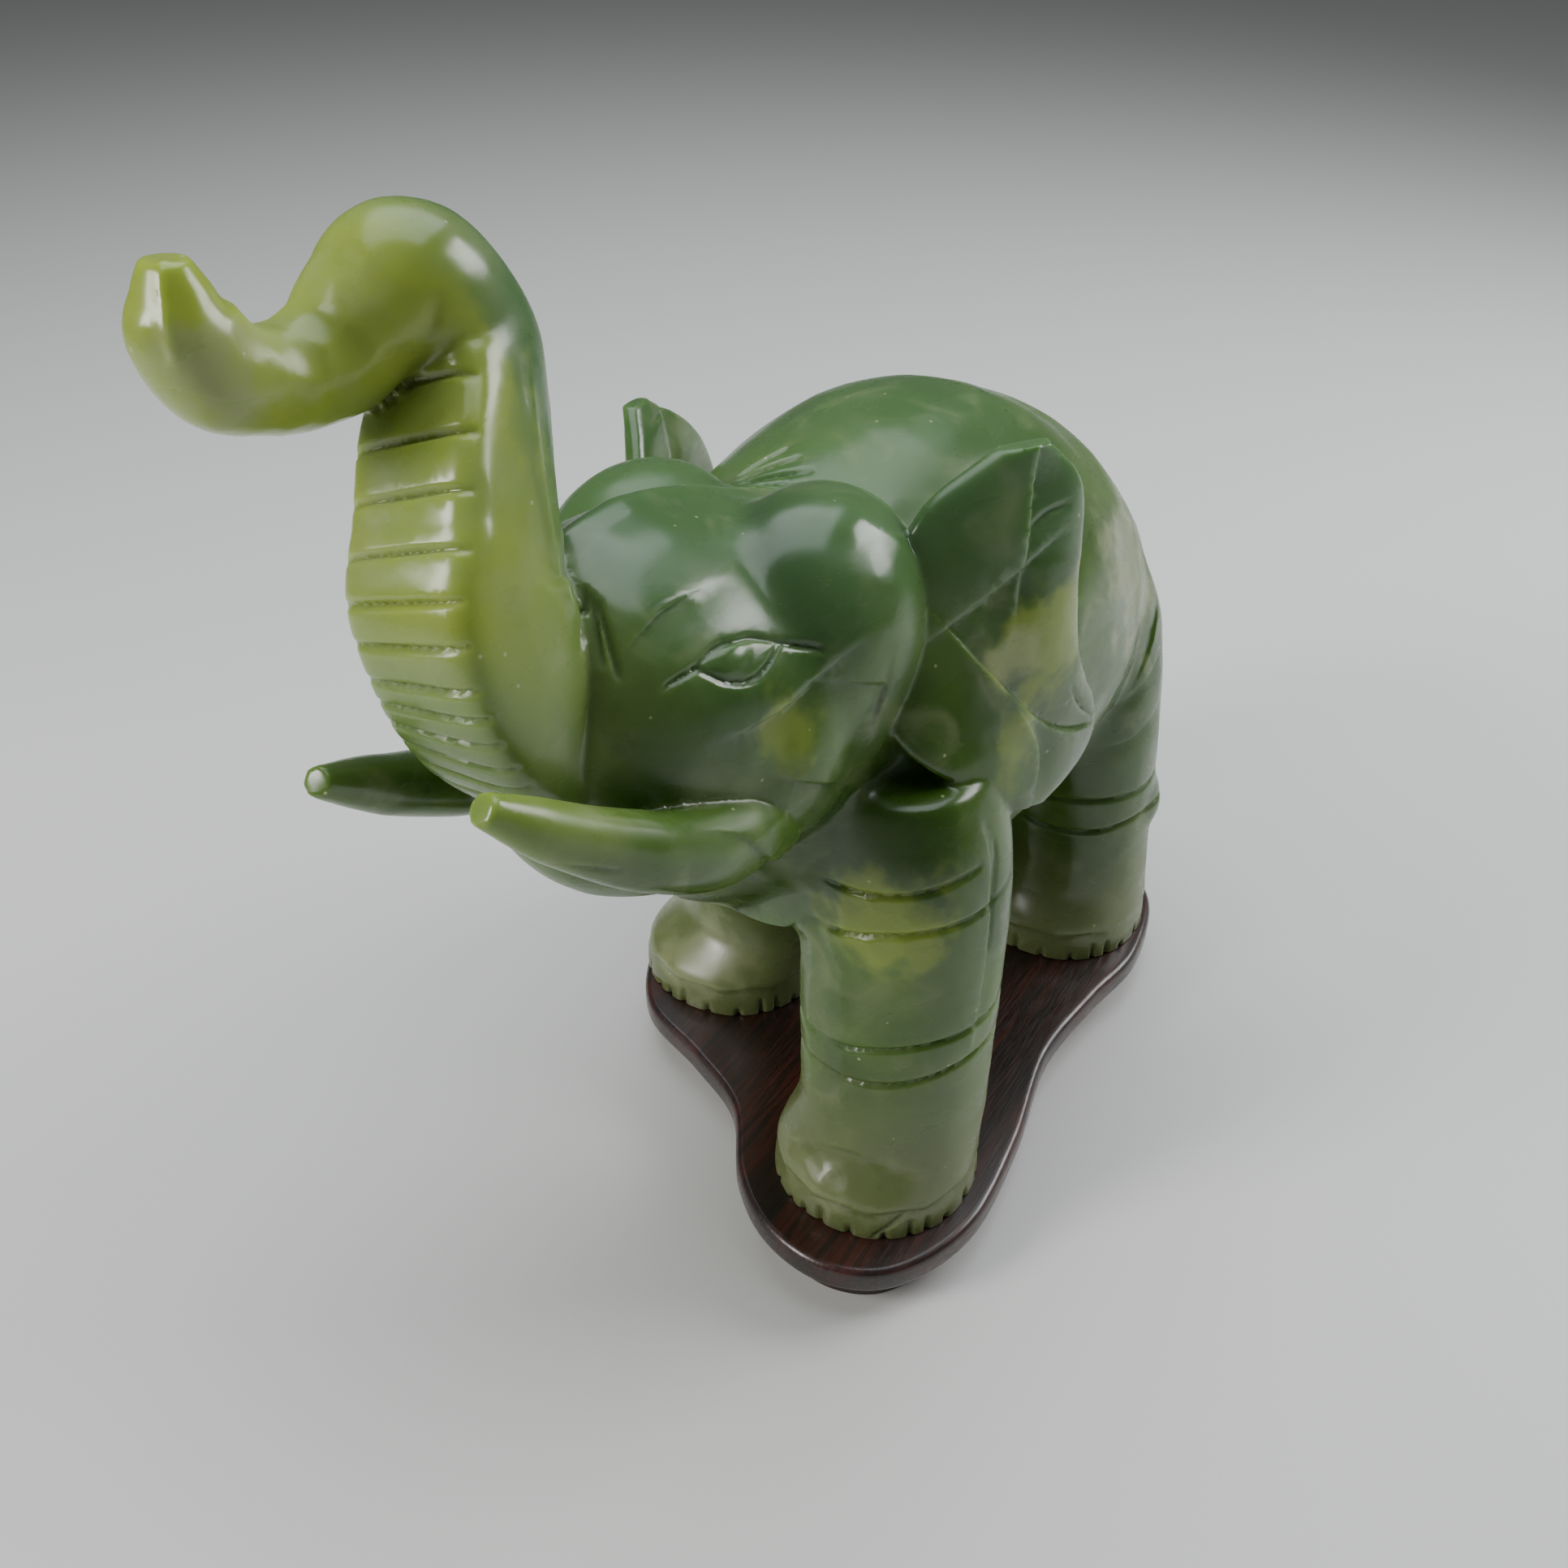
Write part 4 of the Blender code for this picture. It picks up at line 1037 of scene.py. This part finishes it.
jade.tree.links.new(stone_colour, jade.shader.inputs["Base Color"])
smears = jade.step(jade.noise(14.0, 5.0, stretch=(1, 2.2, 0.6)), 0.35, 0.7, 0.2, 0.36)
rough = jade.sum(smears, jade.sum(jade.attribute("grime"), 0.4, "MULTIPLY"))
jade.tree.links.new(rough, jade.shader.inputs["Roughness"])
scratches = jade.noise(1.1, 4.0, stretch=(1, 3, 1))
bump = jade.add("Bump", {"Height": scratches, "Strength": 0.05, "Distance": 0.0002})
jade.tree.links.new(bump, jade.shader.inputs["Normal"])
for socket, value in {"Subsurface Weight": 0.8, "Subsurface Scale": 0.005, "IOR": 1.55}.items():
    jade.shader.inputs[socket].default_value = value
jade.shader.inputs["Subsurface Radius"].default_value = (0.8, 1.0, 0.4)
elephant.data.materials.clear()
elephant.data.materials.append(jade.material)

print("jade finished")

# %% [markdown]
# ### Rosewood
# The wood is nearly black, with a red brown grain that runs along the stand and shows best on the edge. A thin
# lacquer lies over it, so the shader has a coat, with pores that show as a fine bump.

# %% Rosewood finish
wood = Finish("rosewood")
grain = wood.noise(2.2, 6.0, stretch=(1, 16, 1), distortion=1.5)
bands = wood.noise(9.0, 3.0, stretch=(1, 7, 1), shift=7.0)
wood_colour = wood.mix(wood.step(bands, 0.35, 0.65), colour(34, 16, 12), colour(64, 26, 18))
wood_colour = wood.mix(wood.step(grain, 0.42, 0.62, 0.0, 0.8), wood_colour, colour(20, 11, 9))
wood.tree.links.new(wood_colour, wood.shader.inputs["Base Color"])
pores = wood.noise(0.5, 3.0, stretch=(1, 14, 1))
wood.tree.links.new(wood.step(pores, 0.35, 0.65, 0.34, 0.5), wood.shader.inputs["Roughness"])
bump = wood.add("Bump", {"Height": pores, "Strength": 0.25, "Distance": 0.0002})
wood.tree.links.new(bump, wood.shader.inputs["Normal"])
wood.shader.inputs["Coat Weight"].default_value = 0.5
wood.shader.inputs["Coat Roughness"].default_value = 0.2
stand.data.materials.clear()
stand.data.materials.append(wood.material)

print("rosewood finished")

# %% [markdown]
# ## Studio
# The floor is plain and pale. A window light in front, to the left of the camera, gives the bright patches on the
# trunk and the knee. A second one behind the figure lights the rump and shines through the thin stone, and a
# broad cool one hangs above. The camera looks down at the figure from close by, as in the photograph.

# %% Floor, lights and camera
FLOOR_RADIUS = 4.0
FOCAL_PIXELS = 1900
FRAME_PIXELS = 1932
SENSOR = 36.0

turn = np.linspace(0, 2 * math.pi, 96, endpoint=False)
rim = np.column_stack([FLOOR_RADIUS * np.cos(turn), FLOOR_RADIUS * np.sin(turn), np.zeros(len(turn))])
floor_mesh = bpy.data.meshes.new("floor")
floor_mesh.from_pydata(rim, [], [list(range(len(rim)))])
floor = bpy.data.objects.new("floor", floor_mesh)
bpy.context.scene.collection.objects.link(floor)
plain = bpy.data.materials.new("pale_floor")
plain.use_nodes = True
plain.node_tree.nodes["Principled BSDF"].inputs["Base Color"].default_value = (0.72, 0.72, 0.7, 1.0)
plain.node_tree.nodes["Principled BSDF"].inputs["Roughness"].default_value = 0.8
floor_mesh.materials.append(plain)


def soft_light(name, place, target, width, height, watts, tint=(1, 1, 1)):
    """A rectangle of light at a place in metres, turned towards a target."""
    light = bpy.data.lights.new(name, "AREA")
    light.shape = "RECTANGLE"
    light.size, light.size_y, light.energy, light.color = width, height, watts, tint
    lamp = bpy.data.objects.new(name, light)
    lamp.location = place
    lamp.rotation_euler = (Vector(target) - Vector(place)).to_track_quat("-Z", "Y").to_euler()
    bpy.context.scene.collection.objects.link(lamp)


soft_light("front_window", (-0.36, -0.62, 0.46), (0, -0.06, 0.12), 0.22, 0.32, 4.0, (1.0, 0.98, 0.94))
soft_light("back_window", (0.42, 0.50, 0.50), (0, -0.02, 0.11), 0.40, 0.30, 4.0)
soft_light("sky", (-0.10, 0.15, 0.85), (0, 0, 0.1), 0.8, 0.8, 6.0, (0.88, 0.95, 1.0))

world = bpy.data.worlds.new("studio")
world.use_nodes = True
world.node_tree.nodes["Background"].inputs["Color"].default_value = (0.9, 0.92, 0.94, 1.0)
world.node_tree.nodes["Background"].inputs["Strength"].default_value = 0.12
bpy.context.scene.world = world

lens = bpy.data.cameras.new("camera")
lens.sensor_width = SENSOR
lens.lens = SENSOR * FOCAL_PIXELS / FRAME_PIXELS
camera = bpy.data.objects.new("camera", lens)
camera.location = (0.126, -0.235, 0.251)
camera.rotation_euler = (math.radians(55.0), 0.0, math.radians(32.0))
bpy.context.scene.collection.objects.link(camera)
bpy.context.scene.camera = camera
print("lights and camera set")
